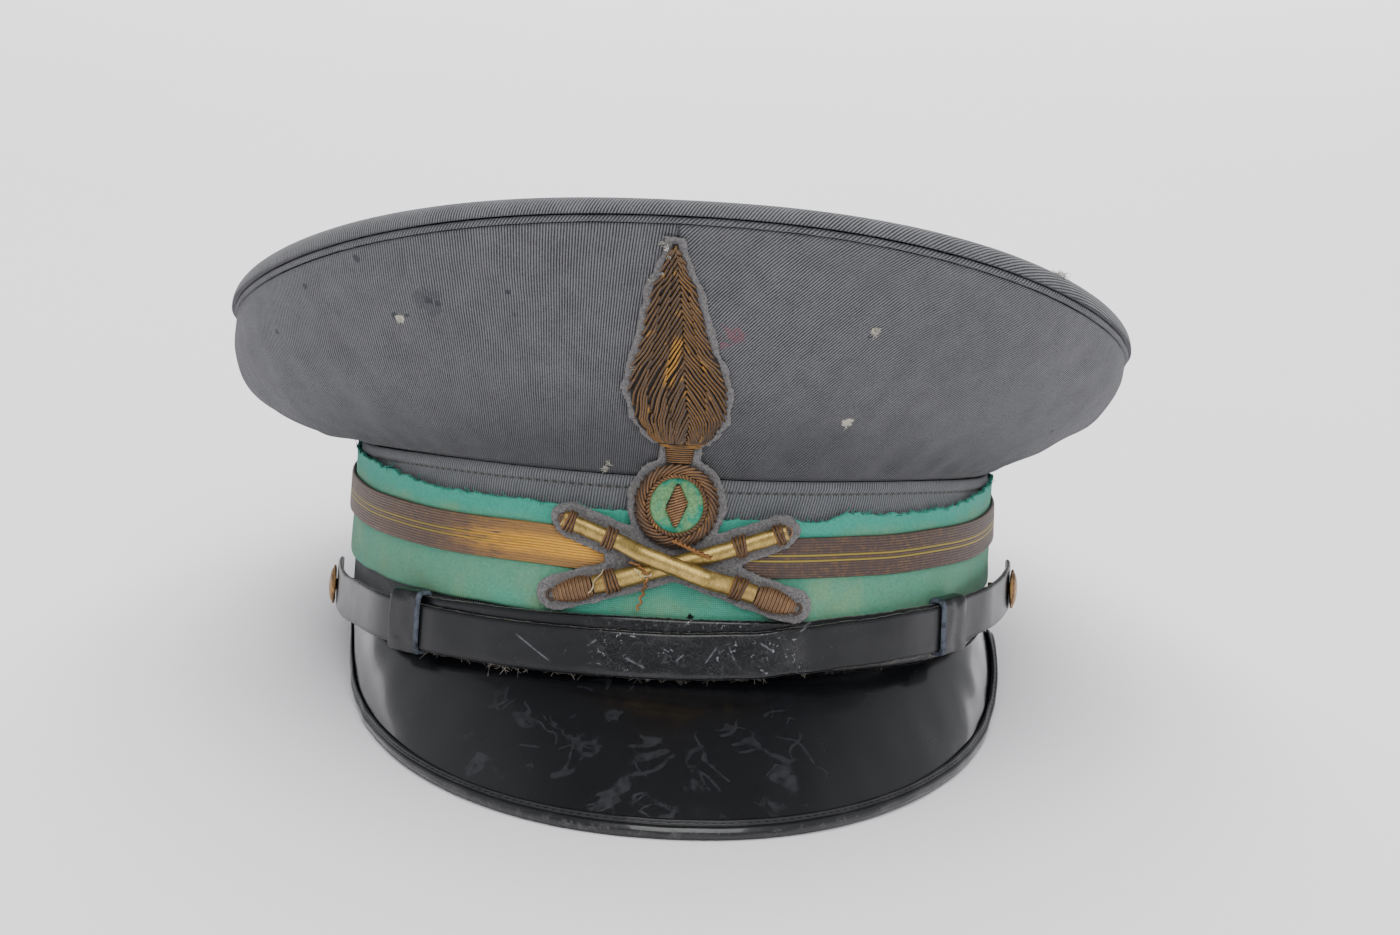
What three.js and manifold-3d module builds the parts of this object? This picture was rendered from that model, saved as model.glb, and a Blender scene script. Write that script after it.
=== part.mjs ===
import * as THREE from "three";
import { mergeVertices } from "three/addons/utils/BufferGeometryUtils.js";
import Module from "manifold-3d";

const wasm = await Module();
wasm.setup();

// A peaked service cap with a wide crown, in millimetres. In the cap's own axes the head opening
// lies in the XY plane, the front faces -Y and +Z is up. At the end the whole cap is pitched back,
// so that it stands on the edge of its peak and on the back of its band.

// Gap between pieces that touch on the real cap.
const clearance = 0.3;
// Depth to which the lowest cloth and leather is pressed flat.
const floorTrim = 0.4;

// Head band: an oval of rounded-square form that narrows by a share up to its highest seam.
const bandHalfWidth = 86.9;
const bandHalfLength = 104;
const bandTaper = 0.0186;
const ovalPower = 2.2;
const bandHeightFront = 46.5;
const bandHeightSide = 40;
const bandWall = 2;

// Green cloth over the band, and the braid over the green cloth.
const greenWall = 1;
const greenBottom = 12;
const greenTop = 38.5;
const braidWall = 0.8;
const braidBottom = 23.2;
const braidWidth = 9.9;

// Crown: its wall rises to a saddle-shaped rim, with a welt and a rolled top edge above it.
const clothWall = 2;
const rimHalfWidth = 118.3;
const rimHalfLength = 128;
const rimOffset = 2;
const rimHeightFront = 108;
const rimHeightSide = 67;
const rimHeightBack = 55;
const rimSkew = 0.9;
const weltRadius = 0.8;
const rollWidth = 3.9;
const rollHeightFront = 3.4;
const rollHeightSide = 5;
const rollInset = 2.5;
const topDome = 1.5;

// Peak: its outer edge lies in the plane that the cap stands on, and rises only at the corners.
const peakOverhang = 34;
const peakDrop = 32.5;
const peakHalfWidth = 84.5;
const peakPower = 2.15;
const peakCornerSetback = 13;
const peakCornerDrop = 5;
const peakSkew = 3.4;
const peakSweep = 0.92;
const peakBulge = 2.5;
const peakWall = 1.8;
const bindingWall = 0.8;
const bindingDepth = 4.7;

// Chin strap in two layers, with its loops and side buttons.
const strapWidth = 11.5;
const strapWall = 1.3;
const sliderWall = 1;
const sliderLength = 12;
const buttonRadius = 5.5;
const buttonRise = 3;
const shankRadius = 1.5;
const buttonAngle = 78;
const strapEndAngle = 84;

// Badge: felt, flame, roundel and two crossed cannons.
const feltWall = 1;
const feltMargin = 1.5;
const flameBottom = 55;
const flameTop = 103.6;
const flameHalfWidth = 11.5;
const flameRise = 2.2;
const neckBottom = 50.7;
const neckHalfWidth = 3.3;
const neckRise = 1.8;
const roundelCentreX = 2.6;
const roundelCentreZ = 40.3;
const roundelRadius = 10;
const roundelHole = 6.9;
const roundelRise = 2.2;
const groundWall = 0.8;
const lozengeHalfWidth = 2.7;
const lozengeHalfHeight = 5;
const lozengeRise = 1.3;
const crossingX = 3;
const crossingZ = 26.4;
const cannonRadius = 2.6;
const cannonRise = 3.2;
const upperSlope = -0.336;
const lowerSlope = 0.323;
const upperMuzzleReach = 28.9;
const upperBreechReach = 32.1;
const lowerMuzzleReach = 27.7;
const lowerBreechReach = 31.6;
const breechLength = 11.5;

const ringSteps = 60;
const degrees = Math.PI / 180;

function smooth(t) {
  const s = Math.min(Math.max(t, 0), 1);
  return s * s * (3 - 2 * s);
}

function mix(a, b, t) {
  return a + (b - a) * t;
}

// Value at x in a table whose rows start with a rising x, by a smooth step between rows.
function lookUp(rows, x, column) {
  const last = rows.length - 1;
  const next = rows.findIndex((row) => row[0] >= x);
  if (next === 0) return rows[0][column];
  if (next < 0) return rows[last][column];
  const [a, b] = [rows[next - 1], rows[next]];
  return mix(a[column], b[column], smooth((x - a[0]) / (b[0] - a[0])));
}

// Closed triangle mesh from points and triangles: shared points merged, faces turned outwards.
function closedGeometry(points, triangles) {
  const positions = new Float32Array(triangles.length * 9);
  triangles.flat().forEach((index, i) => points[index].toArray(positions, i * 3));
  const loose = new THREE.BufferGeometry();
  loose.setAttribute("position", new THREE.BufferAttribute(positions, 3));
  const merged = mergeVertices(loose, 1e-3);
  const index = merged.index.array;
  const corner = (i) => new THREE.Vector3().fromBufferAttribute(merged.attributes.position, i);
  const kept = [];
  let volume = 0;
  for (let i = 0; i < index.length; i += 3) {
    const [a, b, c] = index.slice(i, i + 3);
    if (a === b || b === c || c === a) continue;
    kept.push([a, b, c]);
    volume += corner(a).dot(corner(b).cross(corner(c)));
  }
  const turned = volume < 0 ? kept.map(([a, b, c]) => [a, c, b]) : kept;
  merged.setIndex(turned.flat());
  return merged;
}

// Solid swept through sections, each a closed loop of as many points. An open sweep is capped by
// the triangles of its flat profile, and a closed one joins its last section to its first.
function sweptGeometry(sections, profile) {
  const count = sections[0].length;
  const points = sections.flat();
  const triangles = [];
  const rounds = profile ? sections.length - 1 : sections.length;
  for (let i = 0; i < rounds; i++) {
    const here = i * count;
    const there = ((i + 1) % sections.length) * count;
    for (let j = 0; j < count; j++) {
      const next = (j + 1) % count;
      triangles.push([here + j, here + next, there + next]);
      triangles.push([here + j, there + next, there + j]);
    }
  }
  if (profile) {
    const clockwise = THREE.ShapeUtils.isClockWise(profile);
    const end = (sections.length - 1) * count;
    for (const [a, b, c] of THREE.ShapeUtils.triangulateShape(profile, [])) {
      const [p, q, r] = clockwise ? [a, b, c] : [a, c, b];
      triangles.push([p, q, r]);
      triangles.push([end + p, end + r, end + q]);
    }
  }
  return closedGeometry(points, triangles);
}

function solidOf(geometry) {
  const vertProperties = geometry.attributes.position.array;
  const triVerts = new Uint32Array(geometry.index.array);
  return new wasm.Manifold(new wasm.Mesh({ numProp: 3, vertProperties, triVerts }));
}

function geometryOf(solid) {
  const mesh = solid.getMesh();
  const geometry = new THREE.BufferGeometry();
  geometry.setAttribute("position", new THREE.BufferAttribute(mesh.vertProperties, 3));
  geometry.setIndex(new THREE.BufferAttribute(mesh.triVerts, 1));
  return geometry;
}

const cap = new THREE.Group();

function addPiece(name, geometry, colour, roughness, metalness) {
  const faceted = geometry.toNonIndexed();
  faceted.computeVertexNormals();
  const material = new THREE.MeshStandardMaterial({ color: colour, roughness, metalness });
  const mesh = new THREE.Mesh(faceted, material);
  mesh.name = name;
  cap.add(mesh);
  return mesh;
}

const greyCloth = 0x64696c;
const greenCloth = 0x6ea58c;
const braidBrown = 0x6e5a46;
const patentBlack = 0x14161a;
const bullionGold = 0x7d6237;
const cannonBrass = 0x9a8a50;
const feltGrey = 0x6f7175;

// Rounded oval at an angle from the front, as shares of its half width and half length.
function ovalShare(theta, power = ovalPower) {
  const s = Math.sin(theta);
  const c = Math.cos(theta);
  const x = Math.sign(s) * Math.abs(s) ** (2 / power);
  const y = -Math.sign(c) * Math.abs(c) ** (2 / power);
  return [x, y];
}

// Point of the band's outer oval at a height, moved outwards by a standoff.
function bandPoint(theta, height, standoff) {
  const [x, y] = ovalShare(theta);
  const narrowing = 1 - bandTaper * (height / bandHeightFront);
  const halfWidth = bandHalfWidth * narrowing + standoff;
  const halfLength = bandHalfLength * narrowing + standoff;
  return new THREE.Vector3(x * halfWidth, y * halfLength, height);
}

// Solid ring from a section function of the angle.
function ringGeometry(sectionAt) {
  const sections = [];
  for (let i = 0; i < ringSteps; i++) {
    sections.push(sectionAt((i / ringSteps) * 2 * Math.PI - Math.PI));
  }
  return sweptGeometry(sections, null);
}

// Height of the seam between band and crown: highest in front.
function seamHeight(theta) {
  return mix(bandHeightSide, bandHeightFront, smooth((Math.cos(theta) + 0.1) / 1.1));
}

// Sheet around the band between two heights and two standoffs.
function bandSheet(bottomAt, topAt, inner, outer, rows) {
  return ringGeometry((theta) => {
    const section = [];
    for (let i = 0; i <= rows; i++) {
      section.push(bandPoint(theta, mix(bottomAt(theta), topAt(theta), i / rows), outer));
    }
    for (let i = rows; i >= 0; i--) {
      section.push(bandPoint(theta, mix(bottomAt(theta), topAt(theta), i / rows), inner));
    }
    return section;
  });
}

const bandOuter = -greenWall - clearance;
const bandInner = bandOuter - bandWall;
const bandGeometry = bandSheet(
  () => 0,
  (theta) => seamHeight(theta) - clearance,
  bandInner,
  bandOuter,
  1,
);

// Worn upper edge of the green cloth: angle in degrees, height as a share of greenTop.
const greenEdge = [
  [-180, 1.0],
  [-120, 1.01],
  [-75, 1.03],
  [-58, 1.03],
  [-38, 0.99],
  [-22, 1.0],
  [14, 0.96],
  [22, 0.95],
  [30, 1.0],
  [38, 0.98],
  [52, 0.98],
  [75, 1.02],
  [120, 1.01],
  [180, 1.0],
];
const greenGeometry = bandSheet(
  () => greenBottom,
  (theta) => greenTop * lookUp(greenEdge, theta / degrees, 1),
  -greenWall,
  0,
  1,
);
const braidOuter = clearance + braidWall;
const braidGeometry = bandSheet(
  () => braidBottom,
  () => braidBottom + braidWidth,
  clearance,
  braidOuter,
  1,
);

// Height of the rim over the opening, for a share of its half length counted from the front.
function rimHeight(share) {
  const slope = (rimHeightFront - rimHeightBack) / 2;
  const saddle = (rimHeightFront + rimHeightBack) / 2 - rimHeightSide;
  return rimHeightSide - slope * share + saddle * share * share;
}

// Foot of the crown's rim at an angle, where the wall ends; it stands a little higher on the right.
function rimPoint(theta) {
  const [x, y] = ovalShare(theta);
  const height = rimHeight(y) + rimSkew * x;
  return new THREE.Vector3(x * rimHalfWidth, y * rimHalfLength - rimOffset, height);
}

// Section of the wall by angle in degrees: straight in front, a wide roll at the sides and the
// back, softer on the right. Its two middle control points are given as shares of its run outwards
// and of its rise, and its foot's place as a share of half the band's wall.
const wallSections = [
  [-180, 0.74, 0.08, 1.02, 0.48, 1],
  [-80, 0.8, 0.08, 1.04, 0.44, 1],
  [-20, 0.34, 0.34, 0.68, 0.68, 0],
  [20, 0.34, 0.34, 0.68, 0.68, 0],
  [80, 0.5, 0.2, 0.97, 0.57, 1],
  [130, 0.72, 0.08, 1.01, 0.48, 1],
  [180, 0.74, 0.08, 1.02, 0.48, 1],
];

// Point of the crown's outer wall, from the seam at 0 to the rim at 1.
function wallPoint(theta, share) {
  const section = [1, 2, 3, 4, 5].map((column) => lookUp(wallSections, theta / degrees, column));
  const seat = bandOuter - (bandWall / 2) * section[4];
  const foot = bandPoint(theta, seamHeight(theta), seat);
  const head = rimPoint(theta);
  const run = new THREE.Vector3(head.x - foot.x, head.y - foot.y, 0);
  const rise = new THREE.Vector3(0, 0, head.z - foot.z);
  const low = foot.clone().addScaledVector(run, section[0]).addScaledVector(rise, section[1]);
  const high = foot.clone().addScaledVector(run, section[2]).addScaledVector(rise, section[3]);
  return new THREE.CubicBezierCurve3(foot, low, high, head).getPoint(share);
}

// Outward normal of a surface given by a function of two parameters.
function normalOf(surface, u, v) {
  const step = 1e-3;
  const alongU = surface(u + step, v).sub(surface(u - step, v));
  const alongV = surface(u, v + step).sub(surface(u, v - step));
  return alongU.cross(alongV).normalize();
}

const wallRows = 7;
const wallGeometry = ringGeometry((theta) => {
  const outer = [];
  const inner = [];
  for (let i = 0; i <= wallRows; i++) {
    const share = i / wallRows;
    const point = wallPoint(theta, share);
    const normal = normalOf(wallPoint, theta, Math.min(Math.max(share, 0.01), 0.99));
    outer.push(point);
    inner.unshift(point.clone().addScaledVector(normal, -clothWall));
  }
  return outer.concat(inner);
});

// Outward direction of the rim in plan.
function rimOutward(theta) {
  const [x, y] = ovalShare(theta);
  return new THREE.Vector3(x * rimHalfLength, y * rimHalfWidth, 0).normalize();
}

// Welt: a cord set on the end of the wall, in line with the wall's outer face.
const weltReach = weltRadius + clearance;
const weltGeometry = ringGeometry((theta) => {
  const end = rimPoint(theta);
  const along = end.clone().sub(wallPoint(theta, 0.98)).normalize();
  const normal = normalOf(wallPoint, theta, 0.99);
  return [0, 1, 2, 3, 4, 5].map((i) => {
    const angle = (i / 6) * 2 * Math.PI;
    return end
      .clone()
      .addScaledVector(along, weltReach + Math.sin(angle) * weltRadius)
      .addScaledVector(normal, (Math.cos(angle) - 0.3) * weltRadius);
  });
});

// Top of the crown: a rolled edge over the welt and a lightly domed disc that follows the saddle.
const rollBottom = weltReach + weltRadius + clearance;
const rollRows = 3;
const discRows = 3;

function rollHeight(theta) {
  return mix(rollHeightFront, rollHeightSide, smooth(Math.abs(ovalShare(theta)[0])));
}

function rollPoint(theta, turn, inset) {
  const outward = rimOutward(theta);
  const point = rimPoint(theta);
  point.addScaledVector(outward, Math.cos(turn) * (rollWidth - inset) - rollInset);
  point.z += rollBottom + Math.sin(turn) * (rollHeight(theta) - inset);
  return point;
}

function discPoint(theta, share, inset) {
  const edge = rollPoint(theta, Math.PI / 2, inset);
  const [x, y] = ovalShare(theta);
  const fall = rollHeight(theta) - rollHeightSide - topDome;
  edge.x *= share;
  edge.y = (edge.y + rimOffset) * share - rimOffset;
  edge.z += rimHeight(y * share) - rimHeight(y) - rimSkew * x * (1 - share);
  edge.z -= fall * (1 - share * share);
  return edge;
}

const topGeometry = ringGeometry((theta) => {
  const outer = [];
  const inner = [];
  for (let i = 0; i < rollRows; i++) {
    const turn = (i / rollRows) * (Math.PI / 2);
    outer.push(rollPoint(theta, turn, 0));
    inner.unshift(rollPoint(theta, turn, clothWall));
  }
  for (let i = 0; i <= discRows; i++) {
    const share = 1 - i / discRows;
    outer.push(discPoint(theta, share, 0));
    inner.unshift(discPoint(theta, share, clothWall));
  }
  return outer.concat(inner);
});

// Plane that the cap stands on: through the back of the band and the front of the peak.
const backReach = bandHalfLength + bandOuter;
const peakReach = bandHalfLength + peakOverhang;
const pitch = Math.atan2(peakDrop + floorTrim, peakReach + backReach);
function floorHeight(y) {
  return floorTrim - (backReach - y) * Math.tan(pitch);
}

// Upper edge of the peak, under the band, and its lower edge, at an angle from the front.
function peakUpper(phi) {
  return bandPoint(phi * peakSweep, -clearance - peakWall * 0.45, bandOuter - bandWall / 2);
}

const cornerRise = -peakCornerDrop - floorHeight(-peakCornerSetback);
function peakLower(phi) {
  const [x, y] = ovalShare(phi, peakPower);
  const reach = peakReach - peakCornerSetback;
  const point = new THREE.Vector3(peakSkew + x * peakHalfWidth, y * reach - peakCornerSetback, 0);
  point.z = floorHeight(point.y) + cornerRise * Math.abs(Math.sin(phi)) ** 40;
  return point;
}

// Point of the peak's middle surface, from the band at 0 to the edge at 1.
function peakPoint(phi, share) {
  const upper = peakUpper(phi);
  const lower = peakLower(phi);
  const point = upper.clone().lerp(lower, share);
  const outward = new THREE.Vector3(point.x, point.y, 0).normalize();
  const bow = 4 * peakBulge * share * (1 - share) * Math.cos(phi);
  point.addScaledVector(outward, bow * 0.7);
  point.z += bow * 0.7;
  return point;
}

const peakColumns = 40;
const peakRows = 6;
const peakEnd = 89 * degrees;
const bindingSlot = peakWall / 2 + clearance;
const bindingHalf = bindingSlot + bindingWall;

function peakFrame(phi) {
  const edge = peakPoint(phi, 1);
  const down = edge.clone().sub(peakPoint(phi, 0.94)).normalize();
  const normal = normalOf(peakPoint, phi, 0.97);
  return { edge, down, normal };
}

function sweepPeak(sectionAt, profile) {
  const sections = [];
  for (let i = 0; i <= peakColumns; i++) {
    sections.push(sectionAt(mix(-peakEnd, peakEnd, i / peakColumns)));
  }
  return sweptGeometry(sections, profile);
}

// Flat outline of a sheet's section, used to cap its ends.
function sheetProfile(rows) {
  const outer = [];
  const inner = [];
  for (let i = 0; i <= rows; i++) {
    outer.push(new THREE.Vector2(i, 1));
    inner.unshift(new THREE.Vector2(i, 0));
  }
  return outer.concat(inner);
}

const peakGeometry = sweepPeak((phi) => {
  const length = peakPoint(phi, 1).distanceTo(peakPoint(phi, 0));
  const reach = 1 - (bindingWall + clearance) / length;
  const outer = [];
  const inner = [];
  for (let i = 0; i <= peakRows; i++) {
    const share = (i / peakRows) * reach;
    const normal = normalOf(peakPoint, phi, Math.max(share, 0.01));
    outer.push(peakPoint(phi, share).addScaledVector(normal, peakWall / 2));
    inner.unshift(peakPoint(phi, share).addScaledVector(normal, -peakWall / 2));
  }
  return outer.concat(inner);
}, sheetProfile(peakRows));

// Folded binding: across the edge, and along the peak's slope back from the edge.
const bindingProfile = [
  [-bindingDepth, bindingSlot],
  [-bindingDepth, bindingHalf],
  [-bindingHalf * 0.8, bindingHalf],
  [-bindingHalf * 0.24, bindingHalf * 0.62],
  [0, 0],
  [-bindingHalf * 0.24, -bindingHalf * 0.62],
  [-bindingHalf * 0.8, -bindingHalf],
  [-bindingDepth, -bindingHalf],
  [-bindingDepth, -bindingSlot],
  [-bindingWall, -bindingSlot],
  [-bindingWall, bindingSlot],
].map(([along, across]) => new THREE.Vector2(along, across));

const bindingGeometry = sweepPeak((phi) => {
  const { edge, down, normal } = peakFrame(phi);
  return bindingProfile.map(({ x, y }) =>
    edge.clone().addScaledVector(down, x).addScaledVector(normal, y),
  );
}, bindingProfile);

// Everything below the plane that the cap stands on is pressed away.
const floorSize = 4 * rimHalfLength;
const floorBlock = new THREE.BoxGeometry(floorSize, floorSize, floorSize);
floorBlock.translate(0, 0, -floorSize / 2);
floorBlock.rotateX(pitch);
floorBlock.translate(0, backReach, floorTrim);
floorBlock.deleteAttribute("normal");
floorBlock.deleteAttribute("uv");
const floorSolid = solidOf(mergeVertices(floorBlock, 1e-4));

function pressed(geometry) {
  return geometryOf(solidOf(geometry).subtract(floorSolid));
}

// How far the outside of the peak stands off the band's oval at a height below the band.
function peakStandoff(theta, height) {
  const phi = theta / peakSweep;
  if (height > 0 || Math.abs(phi) > Math.PI / 2) return 0;
  const share = Math.min(height / (peakPoint(phi, 1).z - peakPoint(phi, 0).z), 1);
  const point = peakPoint(phi, share).addScaledVector(normalOf(peakPoint, phi, share), peakWall / 2);
  const band = bandPoint(theta, height, 0);
  return Math.max(Math.hypot(point.x, point.y) - Math.hypot(band.x, band.y), 0);
}

// Course of the strap: angle in degrees, height of its middle and how far it bows off the band,
// both as shares of its width, and the rear layer's lift over the front layer, likewise.
const strapCourse = [
  [-90, 0.2, 0.1, 0.0],
  [-78, 0.21, 0.12, 0.0],
  [-68, 0.24, 0.14, 0.0],
  [-58, 0.32, 0.16, 0.02],
  [-48, 0.36, 0.2, 0.08],
  [-36, 0.35, 0.15, 0.16],
  [-27, 0.33, 0.06, 0.22],
  [0, 0.35, 0.04, 0.28],
  [12, 0.42, 0.04, 0.22],
  [20, 0.54, 0.05, 0.08],
  [29, 0.64, 0.06, 0.06],
  [42, 0.75, 0.15, 0.03],
  [56, 0.81, 0.16, 0.0],
  [66, 0.9, 0.32, 0.0],
  [78, 1.0, 0.38, 0.0],
  [90, 1.05, 0.34, 0.0],
];

// Edges of the rear layer, which lies on the band: heights, and standoffs of its inner face.
function rearEdges(theta) {
  const angle = theta / degrees;
  const bow = clearance + strapWidth * lookUp(strapCourse, angle, 2);
  const low = strapWidth * (lookUp(strapCourse, angle, 1) + lookUp(strapCourse, angle, 3) - 0.5);
  const under = peakStandoff(theta, low - sliderWall - clearance);
  return { low, high: low + strapWidth, lowOut: under + bow, highOut: bow };
}

// Edges of the front layer, which lies on the rear one, hangs lower over the peak and comes down
// onto the band beyond the left loop.
function frontEdges(theta) {
  const angle = theta / degrees;
  const rear = rearEdges(theta);
  const low = strapWidth * (lookUp(strapCourse, angle, 1) - 0.5);
  const lean = (rear.lowOut - rear.highOut) / strapWidth;
  const past = (theta - leftSliderAt) / degrees;
  const stack = (strapWall + clearance) * smooth((past + 20) / 14);
  const highOut = rear.highOut + lean * (rear.high - low - strapWidth) + stack;
  const under = peakStandoff(theta, low - sliderWall - clearance) + clearance;
  return { low, high: low + strapWidth, lowOut: Math.max(highOut + lean * strapWidth, under), highOut };
}

// Point of a layer: across its width from 0 at the lower edge to 1, and out through its wall.
function strapPoint(edgesAt, theta, across, out) {
  const edges = edgesAt(theta);
  const height = mix(edges.low, edges.high, across);
  const standoff = mix(edges.lowOut, edges.highOut, across);
  return bandPoint(theta, Math.max(height, 0), standoff + out).setZ(height);
}

const strapStep = 3 * degrees;
const rectangle = [
  [0, 0],
  [1, 0],
  [1, 1],
  [0, 1],
].map(([x, y]) => new THREE.Vector2(x, y));

function strapGeometry(from, to, edgesAt) {
  const steps = Math.round((to - from) / strapStep);
  const sections = [];
  for (let i = 0; i <= steps; i++) {
    const theta = mix(from, to, i / steps);
    sections.push(rectangle.map(({ x, y }) => strapPoint(edgesAt, theta, x, y * strapWall)));
  }
  return sweptGeometry(sections, rectangle);
}

const strapEnd = strapEndAngle * degrees;
const leftSliderAt = -41.4 * degrees;
const rightSliderAt = 50.6 * degrees;
const sliderHalf = sliderLength / 2 / bandHalfLength;
const frontStrap = strapGeometry(-strapEnd, rightSliderAt + sliderHalf / 2, frontEdges);
const rearStrap = strapGeometry(leftSliderAt - sliderHalf / 2, strapEnd, rearEdges);

// Loop around both layers: its inner and outer outline, swept along the strap.
function sliderOutline(theta, grow) {
  const rear = rearEdges(theta);
  const front = frontEdges(theta);
  const low = Math.min(rear.low, front.low) - clearance - grow;
  const high = Math.max(rear.high, front.high) + clearance + grow;
  const lowIn = Math.min(rear.lowOut, rear.highOut) - clearance - grow;
  const corners = [
    [low, rear.lowOut - clearance - grow],
    [high, lowIn],
    [high, front.highOut + strapWall + clearance + grow],
    [low, front.lowOut + strapWall + clearance + grow],
  ];
  return corners.map(([height, standoff]) =>
    bandPoint(theta, Math.max(height, 0), standoff).setZ(height),
  );
}

function sliderGeometry(at) {
  const stations = [-1, -0.5, 0, 0.5, 1].map((s) => at + s * sliderHalf);
  const loops = [0, 1, 2, 3].map((corner) => {
    const outer = stations.map((theta) => sliderOutline(theta, sliderWall)[corner]);
    const inner = stations.map((theta) => sliderOutline(theta, 0)[corner]);
    return outer.concat(inner.reverse());
  });
  return sweptGeometry(loops, null);
}

// Solid of revolution about an axis through a point, from a profile of radii and heights.
function turnedGeometry(profile, centre, axis) {
  const lathe = new THREE.LatheGeometry(profile, 20);
  lathe.deleteAttribute("normal");
  lathe.deleteAttribute("uv");
  lathe.applyQuaternion(new THREE.Quaternion().setFromUnitVectors(new THREE.Vector3(0, 1, 0), axis));
  lathe.translate(centre.x, centre.y, centre.z);
  const merged = mergeVertices(lathe, 1e-3);
  const corners = Array.from({ length: merged.attributes.position.count }, (_, i) =>
    new THREE.Vector3().fromBufferAttribute(merged.attributes.position, i),
  );
  const faces = [];
  for (let i = 0; i < merged.index.count; i += 3) {
    faces.push(Array.from(merged.index.array.slice(i, i + 3)));
  }
  return closedGeometry(corners, faces);
}

// Domed button on a strap's end, with a shank through the strap to the band.
function buttonPieces(theta, edgesAt, strap) {
  const face = (t, across) => strapPoint(edgesAt, t, across, strapWall);
  const axis = normalOf(face, theta, 0.5);
  const seat = face(theta, 0.5).addScaledVector(axis, clearance);
  const depth = edgesAt(theta).highOut + strapWall;
  const dome = [
    [shankRadius, 0],
    [buttonRadius * 0.8, 0],
    [buttonRadius, buttonRise * 0.12],
    [buttonRadius, buttonRise * 0.3],
    [buttonRadius * 0.86, buttonRise * 0.62],
    [buttonRadius * 0.5, buttonRise * 0.92],
    [0, buttonRise],
  ];
  const shank = [
    [0, -depth],
    [shankRadius, -depth],
  ];
  const profile = shank.concat(dome).map(([r, h]) => new THREE.Vector2(r, h));
  const holeRadius = shankRadius + clearance;
  const hole = [
    [0, -depth],
    [holeRadius, -depth],
    [holeRadius, buttonRise],
    [0, buttonRise],
  ].map(([r, h]) => new THREE.Vector2(r, h));
  const drill = solidOf(turnedGeometry(hole, seat, axis));
  return {
    button: turnedGeometry(profile, seat, axis),
    strap: geometryOf(solidOf(strap).subtract(drill)),
  };
}

const leftEnd = buttonPieces(-buttonAngle * degrees, frontEdges, frontStrap);
const rightEnd = buttonPieces(buttonAngle * degrees, rearEdges, rearStrap);

// Front of the cap under the badge, at a place across and a height, lifted off the surface.
// The felt lies on the braid low down and on the crown's wall higher up.
const seatLow = braidOuter + clearance;
const seatHigh = bandOuter + clearance;
const stepBottom = greenTop * 0.95;
const stepHeight = bandHeightFront - stepBottom;
function frontPoint(across, height, lift) {
  const rise = Math.max((height - bandHeightFront) / (rimHeightFront - bandHeightFront), 0);
  const narrowing = 1 - bandTaper * Math.min(height / bandHeightFront, 1);
  const seat = mix(seatLow, seatHigh, smooth((height - stepBottom) / stepHeight));
  const halfWidth = mix(bandHalfWidth * narrowing, rimHalfWidth - bandOuter, rise) + seat + lift;
  const halfLength = mix(bandHalfLength * narrowing, rimHalfLength - bandOuter, rise) + seat + lift;
  const share = (1 - Math.abs(across / halfWidth) ** ovalPower) ** (1 / ovalPower);
  return new THREE.Vector3(across, -halfLength * share - rimOffset * rise, height);
}

const badgeSeat = feltWall + clearance;

// Pad on the badge along a course of rows: place across, height, half width and rise.
function padGeometry(rows, base) {
  const columns = 6;
  const sections = rows.map(([x, z, half, rise], i) => {
    const before = rows[Math.max(i - 1, 0)];
    const after = rows[Math.min(i + 1, rows.length - 1)];
    const length = Math.hypot(after[0] - before[0], after[1] - before[1]);
    const side = [(after[1] - before[1]) / length, -(after[0] - before[0]) / length];
    const top = [];
    const bottom = [];
    for (let j = 0; j <= columns; j++) {
      const s = (2 * j) / columns - 1;
      const dome = 0.3 + 0.7 * Math.sqrt(Math.max(1 - s * s, 0));
      const place = [x + side[0] * half * s, z + side[1] * half * s];
      top.push(frontPoint(place[0], place[1], base + rise * dome));
      bottom.unshift(frontPoint(place[0], place[1], base));
    }
    return top.concat(bottom);
  });
  return sweptGeometry(sections, sheetProfile(columns));
}

// Flame: height and half width as shares, from its base to its tip, and the lean of its middle.
const flameRows = [
  [0, 0.45, 0.24],
  [0.06, 0.7, 0.23],
  [0.14, 0.92, 0.2],
  [0.27, 1, 0.14],
  [0.38, 0.92, 0.09],
  [0.48, 0.74, 0.05],
  [0.6, 0.61, 0.02],
  [0.76, 0.47, -0.02],
  [0.88, 0.25, -0.04],
  [1, 0.06, -0.04],
];
function flameAt([height, half, lean]) {
  return [lean * flameHalfWidth, mix(flameBottom, flameTop, height), half * flameHalfWidth];
}
const flameGeometry = padGeometry(
  flameRows.map((row) => [...flameAt(row), mix(flameRise, flameRise / 2, row[0])]),
  badgeSeat,
);

const neckTop = flameBottom - clearance;
const neckGeometry = padGeometry(
  [0, 0.5, 1].map((t) => [
    roundelCentreX,
    mix(neckBottom, neckTop, t),
    neckHalfWidth * mix(0.88, 1.1, t),
    neckRise,
  ]),
  badgeSeat,
);

// Raised ring of the roundel.
const roundelSteps = 24;
function roundelPoint(angle, radius, lift) {
  const across = roundelCentreX + radius * Math.sin(angle);
  return frontPoint(across, roundelCentreZ + radius * Math.cos(angle), lift);
}
const roundelSections = [];
for (let i = 0; i < roundelSteps; i++) {
  const angle = (i / roundelSteps) * 2 * Math.PI;
  const section = [];
  for (let j = 0; j <= 4; j++) {
    const dome = 0.3 + 0.7 * Math.sin((j / 4) * Math.PI);
    const radius = mix(roundelHole, roundelRadius, j / 4);
    section.push(roundelPoint(angle, radius, badgeSeat + roundelRise * dome));
  }
  section.push(roundelPoint(angle, roundelRadius, badgeSeat));
  section.push(roundelPoint(angle, roundelHole, badgeSeat));
  roundelSections.push(section);
}
const roundelGeometry = sweptGeometry(roundelSections, null);

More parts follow.
